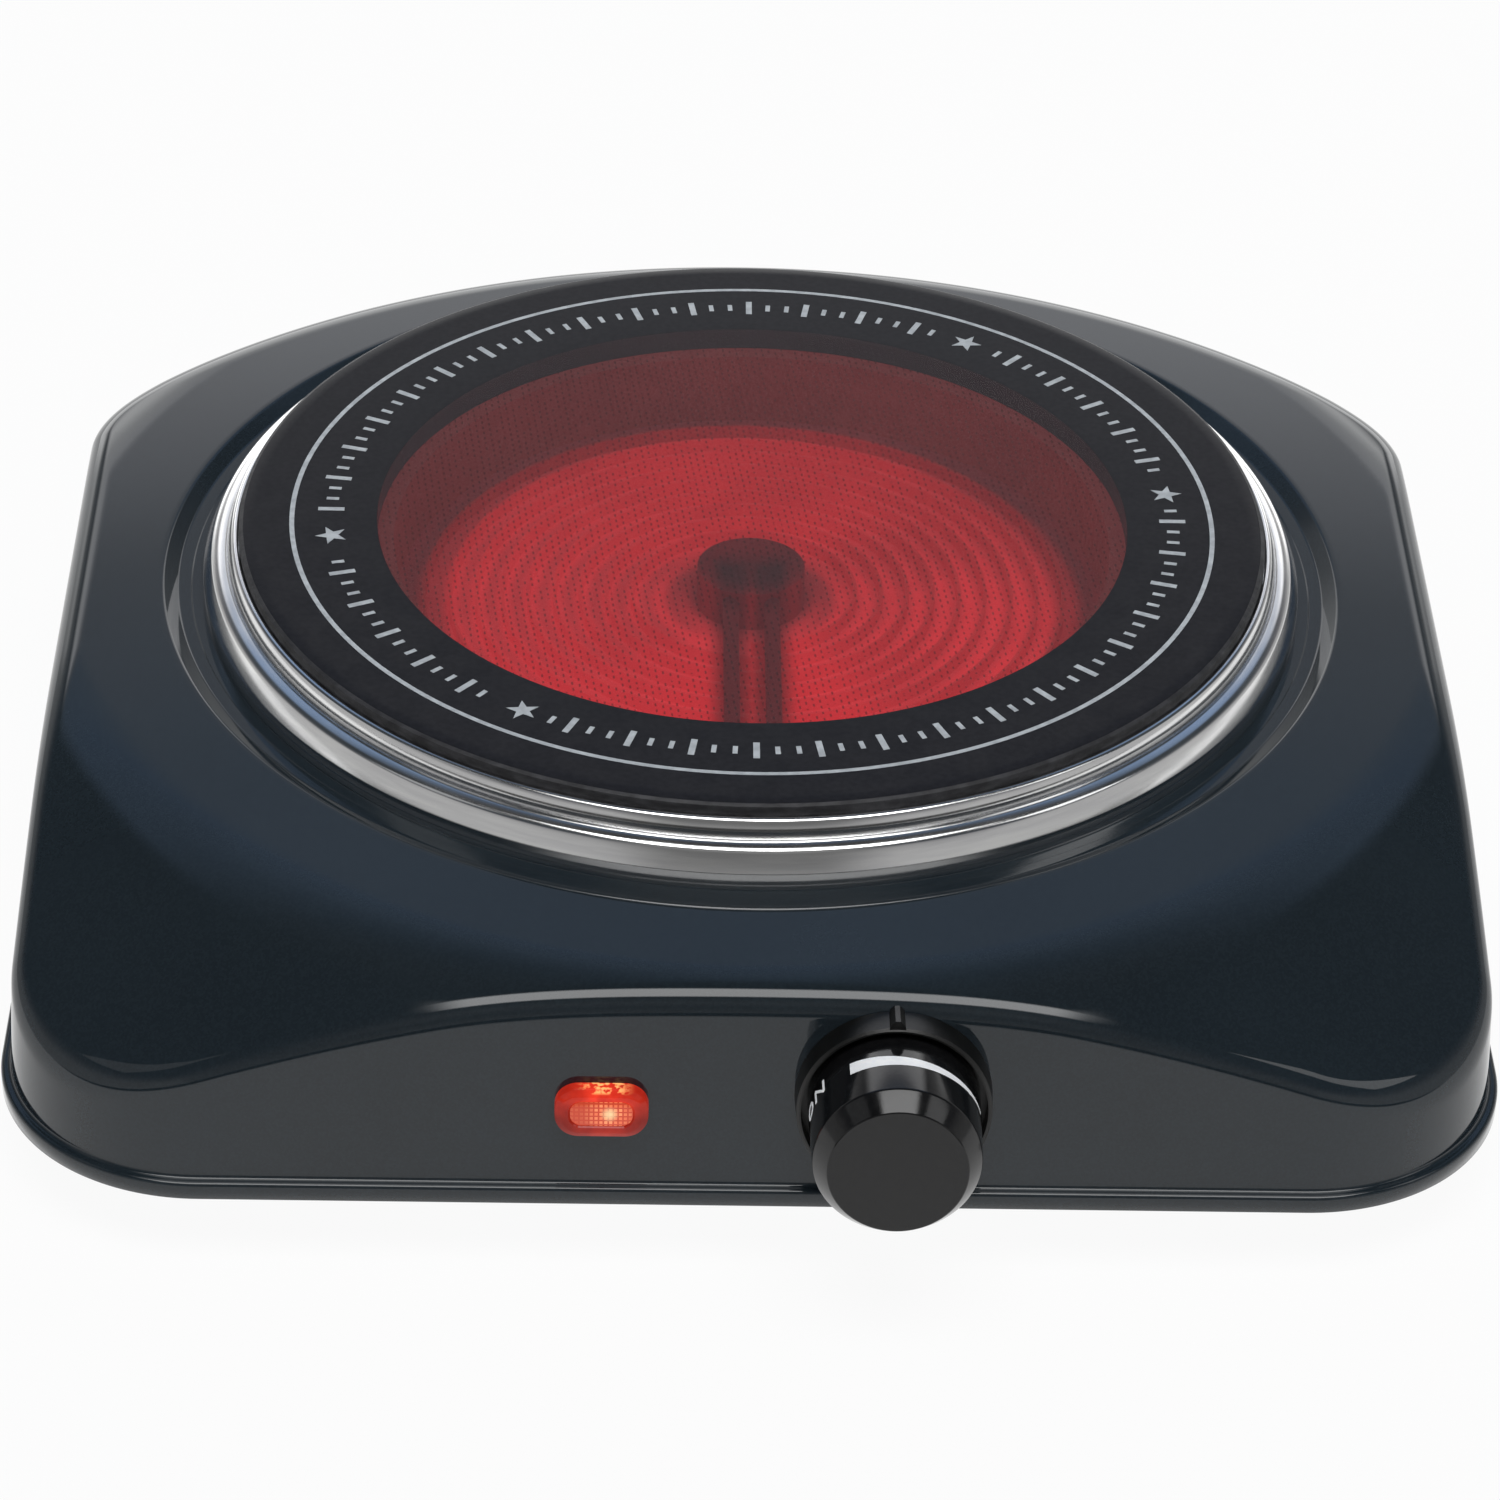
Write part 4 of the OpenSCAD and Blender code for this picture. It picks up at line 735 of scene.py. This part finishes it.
def makeLensPrism(pitch):
    mat = newFinish("lensPrism", (0.12, 0.012, 0.006), 0.2, 0.0, Emission_Strength=1.0,
                    Specular_IOR_Level=0.3, Coat_Weight=0.25, Coat_Roughness=0.05)
    grid = addNode(mat, "TexBrick", Scale=1.0, offset=0.0, Color1=(0.84, 0.17, 0.07, 1),
                   Color2=(1.0, 0.33, 0.14, 1), Mortar=(0.55, 0.06, 0.025, 1))
    for key, value in (("Mortar Size", 0.14), ("Brick Width", pitch), ("Row Height", pitch)):
        grid.inputs[key].default_value = value
    wire(mat, place(mat, Rotation=(radians(90), 0, 0), Scale=(1000, 1000, 1000)), grid.inputs["Vector"])
    away = lengthOf(mat, *lensPlace(mat, *lensGlow["bulb"]))     # from the bulb behind the lens
    dim = mixed(mat, fade(mat, away, *lensGlow["bulbOuter"]), grid.outputs["Color"], (0.50, 0.05, 0.02))
    light = mixed(mat, fade(mat, away, *lensGlow["bulbInner"]), dim, (1.0, 0.80, 0.42))
    wire(mat, light, shaderOf(mat).inputs["Emission Color"])
    return mat


def ovalOutline(s, w, h):
    r = h * s["corner"]
    pts = []
    for cx, cy, a0 in ((w / 2 - r, h / 2 - r, 0), (r - w / 2, h / 2 - r, 90), (r - w / 2, r - h / 2, 180),
                       (w / 2 - r, r - h / 2, 270)):
        pts += arcPoints(cx, cy, r, a0, a0 + 90, s["cornerSteps"])
    return pts


# Ovals of given width and height joined one over the other, closed at both ends
def stackOvals(name, s, layers, mat):
    at = frontPoint(s["x"], s["z"])
    verts = [at((x, y, z)) for w, h, z in layers for x, y in ovalOutline(s, w, h)]
    n = len(verts) // len(layers)
    faces = [(i * n + j, i * n + (j + 1) % n, (i + 1) * n + (j + 1) % n, (i + 1) * n + j)
             for i in range(len(layers) - 1) for j in range(n)]
    faces += [tuple(range(n - 1, -1, -1)), tuple(range(len(verts) - n, len(verts)))]
    return makeObject(name, verts, faces, [mat], None, True, 32)


def buildLens(s):
    w, h, out = s["width"], s["height"], s["out"]
    neck = (s["neckWidth"] - s["neckGap"], s["neckHeight"] - s["neckGap"])
    shell, grid = ([(w - a, h - b, out - c) for a, b, c in s[name]] for name in ("shell", "grid"))
    shell = [(*neck, -s["neckDepth"]), (*neck, 0.02), (w, h, 0.05)] + shell
    return (stackOvals("lampLens", s, shell, makeLensRed()),
            stackOvals("lensGrid", s, grid, makeLensPrism(s["gridPitch"])))


lensShell, lensGrid = buildLens(lensSizes)
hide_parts("lamp_lens")
for piece in (lensShell, lensGrid):
    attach(piece, "base")
print("lamp lens built")


# Openings of the housing: regulator bush, lamp and cord inlet
holeSizes = {"bush": 5.1, "lampWidth": 12.4, "lampHeight": 6.4, "inlet": 6.5,
             "panelCut": (-5, 3), "backCut": (-9, 9)}


def prism(name, outline, at, ends):
    n = len(outline)
    verts = [at((x, y, z)) for z in ends for x, y in outline]
    faces = [tuple(range(n - 1, -1, -1)), tuple(range(n, 2 * n))]
    faces += [(j, (j + 1) % n, n + (j + 1) % n, n + j) for j in range(n)]
    return makeObject(name, verts, faces, [], None, False)


def circle(r, n=60):
    return arcPoints(0, 0, r, 0, 360 - 360 / n, n - 1)


def cutHousing(body, s):
    low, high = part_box("cord_grommet")
    inlet = [(a + b) * 500 for a, b in zip(low, high)]     # middle of the grommet in millimetres

    def atBack(p):
        return (inlet[0] - p[0], inlet[1] + p[2], inlet[2] + p[1])

    w, h = s["lampWidth"] / 2, s["lampHeight"] / 2
    atKnob, atLamp = (frontPoint(sizes["x"], sizes["z"]) for sizes in (knobSizes, lensSizes))
    cutters = [prism("bushHole", circle(s["bush"]), atKnob, s["panelCut"]),
               prism("lampHole", [(-w, -h), (w, -h), (w, h), (-w, h)], atLamp, s["panelCut"]),
               prism("inletHole", circle(s["inlet"]), atBack, s["backCut"])]
    for cutter in cutters:
        hole = body.modifiers.new(cutter.name, "BOOLEAN")
        hole.operation, hole.solver, hole.object = "DIFFERENCE", "EXACT", cutter
    bpy.context.view_layer.update()
    shaped = bpy.data.meshes.new_from_object(body.evaluated_get(bpy.context.evaluated_depsgraph_get()))
    body.modifiers.clear()
    body.data = shaped
    for cutter in cutters:
        bpy.data.objects.remove(cutter)


cutHousing(housing, holeSizes)
print("openings cut,", len(housing.data.polygons), "faces left")


# Finishes for the pieces that keep their solids
def makeSheetSteel(name, low, high, rough=0.34):
    mat = newFinish(name, low, rough, 1.0)
    varied(mat, low, high, 120.0, 4.0, (1, 1, 1), (0.3, 0.7))
    roughVaried(mat, rough - 0.08, rough + 0.12, 420.0, (1, 14, 1))
    bumpFrom(mat, noiseAt(mat, 700.0, 3.0, (1, 20, 1)), 0.05, 0.0002)
    return mat


def makeMoulded(name, low, high, rough=0.45):
    mat = newFinish(name, low, rough, 0.0)
    varied(mat, low, high, 420.0, 3.0)
    bumpFrom(mat, noiseAt(mat, 1600.0, 3.0), 0.12, 0.0002)
    return mat


def glowVaried(mat, colour, least, scale, detail):     # light that dims in places to a share of its colour
    light = rampOf(mat, noiseAt(mat, scale, detail), [(0.3, tuple(v * least for v in colour)), (0.7, colour)])
    wire(mat, light, shaderOf(mat).inputs["Emission Color"])


# Fibre with a faint painted red glow, standing in for the ribbons' light falling on it
def makeFibre(name, low, high, glow):
    mat = newFinish(name, low, 0.95, 0.0, Emission_Strength=1.0)
    varied(mat, low, high, 240.0, 5.0)
    glowVaried(mat, glow, 0.86, 60.0, 3.0)
    bumpFrom(mat, noiseAt(mat, 700.0, 5.0), 0.6, 0.0008)
    return mat


def makeGlow(name, low, high, glow):
    mat = newFinish(name, low, 0.7, 0.0, Emission_Strength=1.0)
    varied(mat, low, high, 150.0, 3.0)
    glowVaried(mat, glow, 0.8, 150.0, 2.0)
    return mat


# Red glow of the dish: the ribbons glow with their own heat, while the centre block, rods and fibre floor
# carry painted glow from the same field, standing in for the ribbons' light spread over them; brightest round
# the middle, dim at its rim, over the centre block and along the rods
heatAndPaintedGlow = {"colour": (1.0, 0.024, 0.036), "bright": 0.82, "edgeIn": 50, "edgeOut": 61, "edgeLeft": 0.16,
        "ringPitch": 4.6, "ringDepth": 0.30, "spot": (8.5, 18.5), "spotBack": 3.5, "spotLeft": 0.2,
        "rod": (1.4, 5.2), "rodGap": 6.5, "rodLeft": 0.30, "rodEnd": (-4.0, 6.0),
        "tilt": (-60.0, 60.0, 1.22, 0.86), "patchy": (0.3, 0.7, 0.90, 1.06)}


def makeHeatAndPaintedGlow(name, share, low, high):
    mat = newFinish(name, low, 0.95, 0.0)
    varied(mat, low, high, 240.0, 5.0)
    x, y, _ = axes(mat, place(mat, Location=(0, -discY, 0), Scale=(1000, 1000, 1000)))
    r = lengthOf(mat, x, y)
    wide = maths(mat, "ABSOLUTE", x)
    level = fade(mat, r, heatAndPaintedGlow["edgeIn"], heatAndPaintedGlow["edgeOut"], 1.0, heatAndPaintedGlow["edgeLeft"])
    toSpot = lengthOf(mat, x, maths(mat, "SUBTRACT", y, heatAndPaintedGlow["spotBack"]))
    spot = fade(mat, toSpot, *heatAndPaintedGlow["spot"], heatAndPaintedGlow["spotLeft"])
    aside = maths(mat, "ABSOLUTE", maths(mat, "SUBTRACT", wide, heatAndPaintedGlow["rodGap"] / 2))
    rods = fade(mat, aside, *heatAndPaintedGlow["rod"], heatAndPaintedGlow["rodLeft"])
    rods = maths(mat, "MAXIMUM", rods, fade(mat, y, *heatAndPaintedGlow["rodEnd"]))
    wave = maths(mat, "COSINE", product(mat, r, 2 * pi / heatAndPaintedGlow["ringPitch"]))
    sideways = maths(mat, "DIVIDE", wide, maths(mat, "ADD", r, 1.0))     # rings show to left and right
    depth = product(mat, fade(mat, sideways, 0.35, 0.9), heatAndPaintedGlow["ringDepth"] / 2)
    rings = maths(mat, "SUBTRACT", 1.0, product(mat, maths(mat, "ADD", wave, 1.0), depth))
    tilt = fade(mat, y, *heatAndPaintedGlow["tilt"])
    patchy = fade(mat, noiseAt(mat, 55.0, 3.0), *heatAndPaintedGlow["patchy"])
    level = product(mat, level, spot, rods, rings, tilt, patchy, heatAndPaintedGlow["bright"] * share)
    shader = shaderOf(mat)
    shader.inputs["Emission Color"].default_value = (*heatAndPaintedGlow["colour"], 1)
    wire(mat, level, shader.inputs["Emission Strength"])
    bumpFrom(mat, noiseAt(mat, 700.0, 5.0), 0.6, 0.0008)
    return mat


zincSheet = makeSheetSteel("zincSheet", (0.40, 0.42, 0.44), (0.58, 0.60, 0.62))
screwSteel = makeSheetSteel("screwSteel", (0.48, 0.49, 0.50), (0.66, 0.67, 0.68), 0.28)
contactBrass = makeSheetSteel("contactBrass", (0.55, 0.38, 0.14), (0.72, 0.53, 0.23), 0.3)
porcelain = makeMoulded("porcelain", (0.72, 0.70, 0.64), (0.82, 0.80, 0.75), 0.3)
# painted glow: the block, rods and fibre floor take shares of the ribbons' glow field as light of their own
blockPaintedGlow = makeHeatAndPaintedGlow("blockPaintedGlow", 0.85, (0.02, 0.006, 0.006), (0.03, 0.01, 0.01))
darkRod = makeHeatAndPaintedGlow("darkRod", 0.45, (0.02, 0.008, 0.008), (0.035, 0.012, 0.012))
ribbonGlow = makeHeatAndPaintedGlow("ribbonGlow", 0.86, (0.10, 0.02, 0.02), (0.14, 0.03, 0.02))
fibreFloor = makeHeatAndPaintedGlow("fibreFloor", 1.0, (0.10, 0.03, 0.03), (0.13, 0.04, 0.04))
fibreWall = makeFibre("fibreWall", (0.05, 0.03, 0.03), (0.07, 0.04, 0.04), (0.15, 0.007, 0.006))
fibreSeal = makeMoulded("fibreSeal", (0.03, 0.03, 0.03), (0.06, 0.06, 0.06), 0.9)
collarPlastic = makeMoulded("collarPlastic", (0.0018, 0.0018, 0.0016), (0.0035, 0.0035, 0.003), 0.38)
phenolic = makeMoulded("phenolic", (0.10, 0.06, 0.04), (0.14, 0.09, 0.06), 0.4)
paleMoulding = makeMoulded("paleMoulding", (0.66, 0.64, 0.56), (0.74, 0.72, 0.64), 0.45)
clipPlastic = makeMoulded("clipPlastic", (0.012, 0.012, 0.014), (0.022, 0.022, 0.024), 0.4)
footRubber = makeMoulded("footRubber", (0.012, 0.012, 0.012), (0.026, 0.026, 0.026), 0.8)
bulbGlow = makeGlow("bulbGlow", (0.8, 0.3, 0.1), (0.9, 0.4, 0.15), (1.0, 0.28, 0.06))
cable = {name: makeMoulded("cable" + name, low, high, 0.38) for name, low, high in (
    ("Brown", (0.12, 0.05, 0.02), (0.17, 0.08, 0.035)), ("Red", (0.30, 0.02, 0.015), (0.40, 0.035, 0.025)),
    ("Blue", (0.03, 0.09, 0.28), (0.05, 0.13, 0.36)), ("White", (0.56, 0.54, 0.50), (0.66, 0.64, 0.60)),
    ("Green", (0.09, 0.25, 0.05), (0.14, 0.34, 0.08)))}

finishOf = {
    "base_plate": zincSheet, "glass_seal": fibreSeal, "heater_dish": zincSheet,
    "insulation_base": fibreFloor, "insulation_rim": fibreWall, "heater_ribbon": ribbonGlow,
    "centre_block": blockPaintedGlow, "lead_rods": darkRod, "terminal_block": porcelain,
    "heater_tabs": contactBrass, "heat_shield": zincSheet, "cross_bracket": zincSheet,
    "dish_stud": screwSteel, "dish_spacer": screwSteel, "stud_nut": screwSteel,
    "bracket_screws": screwSteel, "bracket_nuts": screwSteel, "knob_collar": collarPlastic,
    "regulator_frame": zincSheet, "regulator_nut": screwSteel, "regulator_body": porcelain,
    "regulator_cover": phenolic, "regulator_tabs": contactBrass, "regulator_shaft": screwSteel,
    "regulator_cam": paleMoulding, "contact_lever": contactBrass, "lever_pin": screwSteel,
    "fixed_contact": contactBrass, "knob_spring": screwSteel, "lamp_bulb": bulbGlow,
    "lamp_body": paleMoulding, "lamp_clips": clipPlastic, "mains_terminal": paleMoulding,
    "terminal_screws": screwSteel, "cord_grommet": footRubber, "earth_screw": contactBrass,
    "earth_nut": contactBrass, "earth_tag": contactBrass, "live_wire": cable["Brown"],
    "load_wire": cable["Red"], "neutral_wire": cable["Blue"], "lamp_wires": cable["White"],
    "earth_wire": cable["Green"], "foot_front_left": footRubber, "foot_front_right": footRubber,
    "foot_back_left": footRubber, "foot_back_right": footRubber, "foot_screws": screwSteel,
    "foot_nuts": screwSteel, "base_screws": screwSteel}
for nodeName, finish in finishOf.items():
    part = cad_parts[nodeName]
    part.data.materials.clear()
    part.data.materials.append(finish)
print("finishes given to", len(finishOf), "solid pieces")

# Studio: pale floor, light from above and both sides; surroundings as height and colour going up
studio = {"floor": 0.86, "floorSize": 4000, "floorZ": -0.05, "overhead": 5.2, "boxAt": (1.26, -0.34, 1.24),
          "boxWidth": 0.5, "boxHeight": 0.7, "left": 0.35, "right": 1.5,
          "behind": ((0.0, (2.1, 2.1, 2.1)), (0.34, (2.2, 2.2, 2.2)), (0.42, (1.6, 1.6, 1.62)),
                     (0.49, (1.5, 1.5, 1.55)), (0.51, (0.95, 0.95, 1.0)), (0.53, (0.45, 0.46, 0.5)),
                     (0.56, (0.28, 0.34, 0.44)), (0.62, (0.22, 0.31, 0.48)), (0.72, (0.2, 0.28, 0.42)),
                     (0.85, (0.08, 0.11, 0.16)), (1.0, (0.02, 0.02, 0.02))),
          "beside": ((0.0, (0.5, 0.5, 0.5)), (0.25, (0.45, 0.45, 0.45)), (0.42, (0.16, 0.16, 0.17)),
                     (0.56, (0.05, 0.06, 0.07)), (1.0, (0.02, 0.02, 0.02))),
          "before": ((0.0, (0.30, 0.30, 0.30)), (0.2, (0.20, 0.20, 0.20)), (0.36, (0.15, 0.15, 0.15)),
                     (0.6, (0.26, 0.26, 0.26)), (0.85, (0.1, 0.1, 0.1)), (1.0, (0.02, 0.02, 0.02))),
          "boxSide": (-0.35, 0.42), "boxDepth": (-0.58, 0.0), "boxSoft": 0.07, "boxRise": (0.5, 0.6),
          "sideFrom": (0.22, 0.5), "backDepth": (0.2, 0.55), "backWide": (0.58, 0.44),
          "backNarrow": (0.23, 0.10), "backLean": 0.45, "backLow": (0.28, 0.14),
          "floorGloss": (-0.36, -0.24, 0.04, 0.95), "floorWhite": 0.93}


def softBox(name, side, brightness):
    data = bpy.data.lights.new(name, "AREA")
    data.shape = "RECTANGLE"
    data.size, data.size_y = studio["boxWidth"], studio["boxHeight"]
    data.energy = brightness * pi * studio["boxWidth"] * studio["boxHeight"]
    lamp = bpy.data.objects.new(name, data)
    bpy.context.collection.objects.link(lamp)
    x, y, z = studio["boxAt"]
    lamp.location = (side * x, y, z)
    lamp.rotation_euler = (Vector((0, 0, 0.05)) - lamp.location).to_track_quat("-Z", "Y").to_euler()


softBox("leftBox", -1, studio["left"])
softBox("rightBox", 1, studio["right"])


def emptyTree(owner):
    owner.use_nodes = True
    owner.node_tree.nodes.clear()
    return owner


# Floor: white to the eye with a trace of shadow; in gloss it goes dark well in front of the object
def makeFloor():
    mat = emptyTree(bpy.data.materials.new("studioFloor"))
    ray = addNode(mat, "LightPath").outputs
    _, y, _ = axes(mat, addNode(mat, "TexCoord").outputs["Object"])
    lit = maths(mat, "MAXIMUM", fade(mat, y, *studio["floorGloss"]), ray["Is Camera Ray"])
    glow = addNode(mat, "Emission")
    wire(mat, lit, glow.inputs["Strength"])
    seen = product(mat, ray["Is Camera Ray"], studio["floorWhite"])
    share = maths(mat, "MAXIMUM", seen, ray["Is Glossy Ray"])
    blend = addNode(mat, "MixShader")
    wire(mat, share, blend.inputs["Fac"])
    wire(mat, addNode(mat, "BsdfDiffuse", Color=(*grey(studio["floor"]), 1)).outputs["BSDF"], blend.inputs[1])
    wire(mat, glow.outputs["Emission"], blend.inputs[2])
    wire(mat, blend.outputs["Shader"], addNode(mat, "OutputMaterial").inputs["Surface"])
    return mat


corners = [(x * studio["floorSize"], y * studio["floorSize"], studio["floorZ"])
           for x, y in ((-1, -1), (1, -1), (1, 1), (-1, 1))]
floor = makeObject("studioFloor", corners, [(0, 1, 2, 3)], [makeFloor()], None, False)


# Surroundings by direction: bright low down behind, dim beside and dark in front, a soft box overhead
def makeSurroundings():
    world = emptyTree(bpy.data.worlds.new("studioWorld"))
    side, depth, rise = axes(world, addNode(world, "TexCoord").outputs["Generated"])
    behind, beside, before = (rampOf(world, rise, studio[name]) for name in ("behind", "beside", "before"))
    aside = maths(world, "ABSOLUTE", side)
    sky = mixed(world, fade(world, aside, *studio["sideFrom"]), before, beside)
    back = product(world, fade(world, depth, *studio["backDepth"]), fade(world, aside, *studio["backWide"]))
    narrow = maths(world, "SUBTRACT", aside, product(world, rise, studio["backLean"]))
    narrow = fade(world, narrow, *studio["backNarrow"])
    back = product(world, back, maths(world, "MAXIMUM", narrow, fade(world, rise, *studio["backLow"])))
    sky = mixed(world, back, sky, behind)
    up = maths(world, "MAXIMUM", rise, 0.02)
    inside = fade(world, rise, *studio["boxRise"])
    for axis, limits in ((side, studio["boxSide"]), (depth, studio["boxDepth"])):
        along = maths(world, "DIVIDE", axis, up)
        for end, soft in zip(limits, (studio["boxSoft"], -studio["boxSoft"])):
            inside = product(world, inside, fade(world, along, end - soft, end + soft))
    light = addNode(world, "Background")
    wire(world, mixed(world, inside, sky, grey(studio["overhead"])), light.inputs["Color"])
    blend = addNode(world, "MixShader")
    wire(world, addNode(world, "LightPath").outputs["Is Camera Ray"], blend.inputs["Fac"])
    wire(world, light.outputs["Background"], blend.inputs[1])
    wire(world, addNode(world, "Background", Color=(1, 1, 1, 1)).outputs["Background"], blend.inputs[2])
    wire(world, blend.outputs["Shader"], addNode(world, "OutputWorld").inputs["Surface"])
    return world


bpy.context.scene.world = makeSurroundings()
print("studio set")
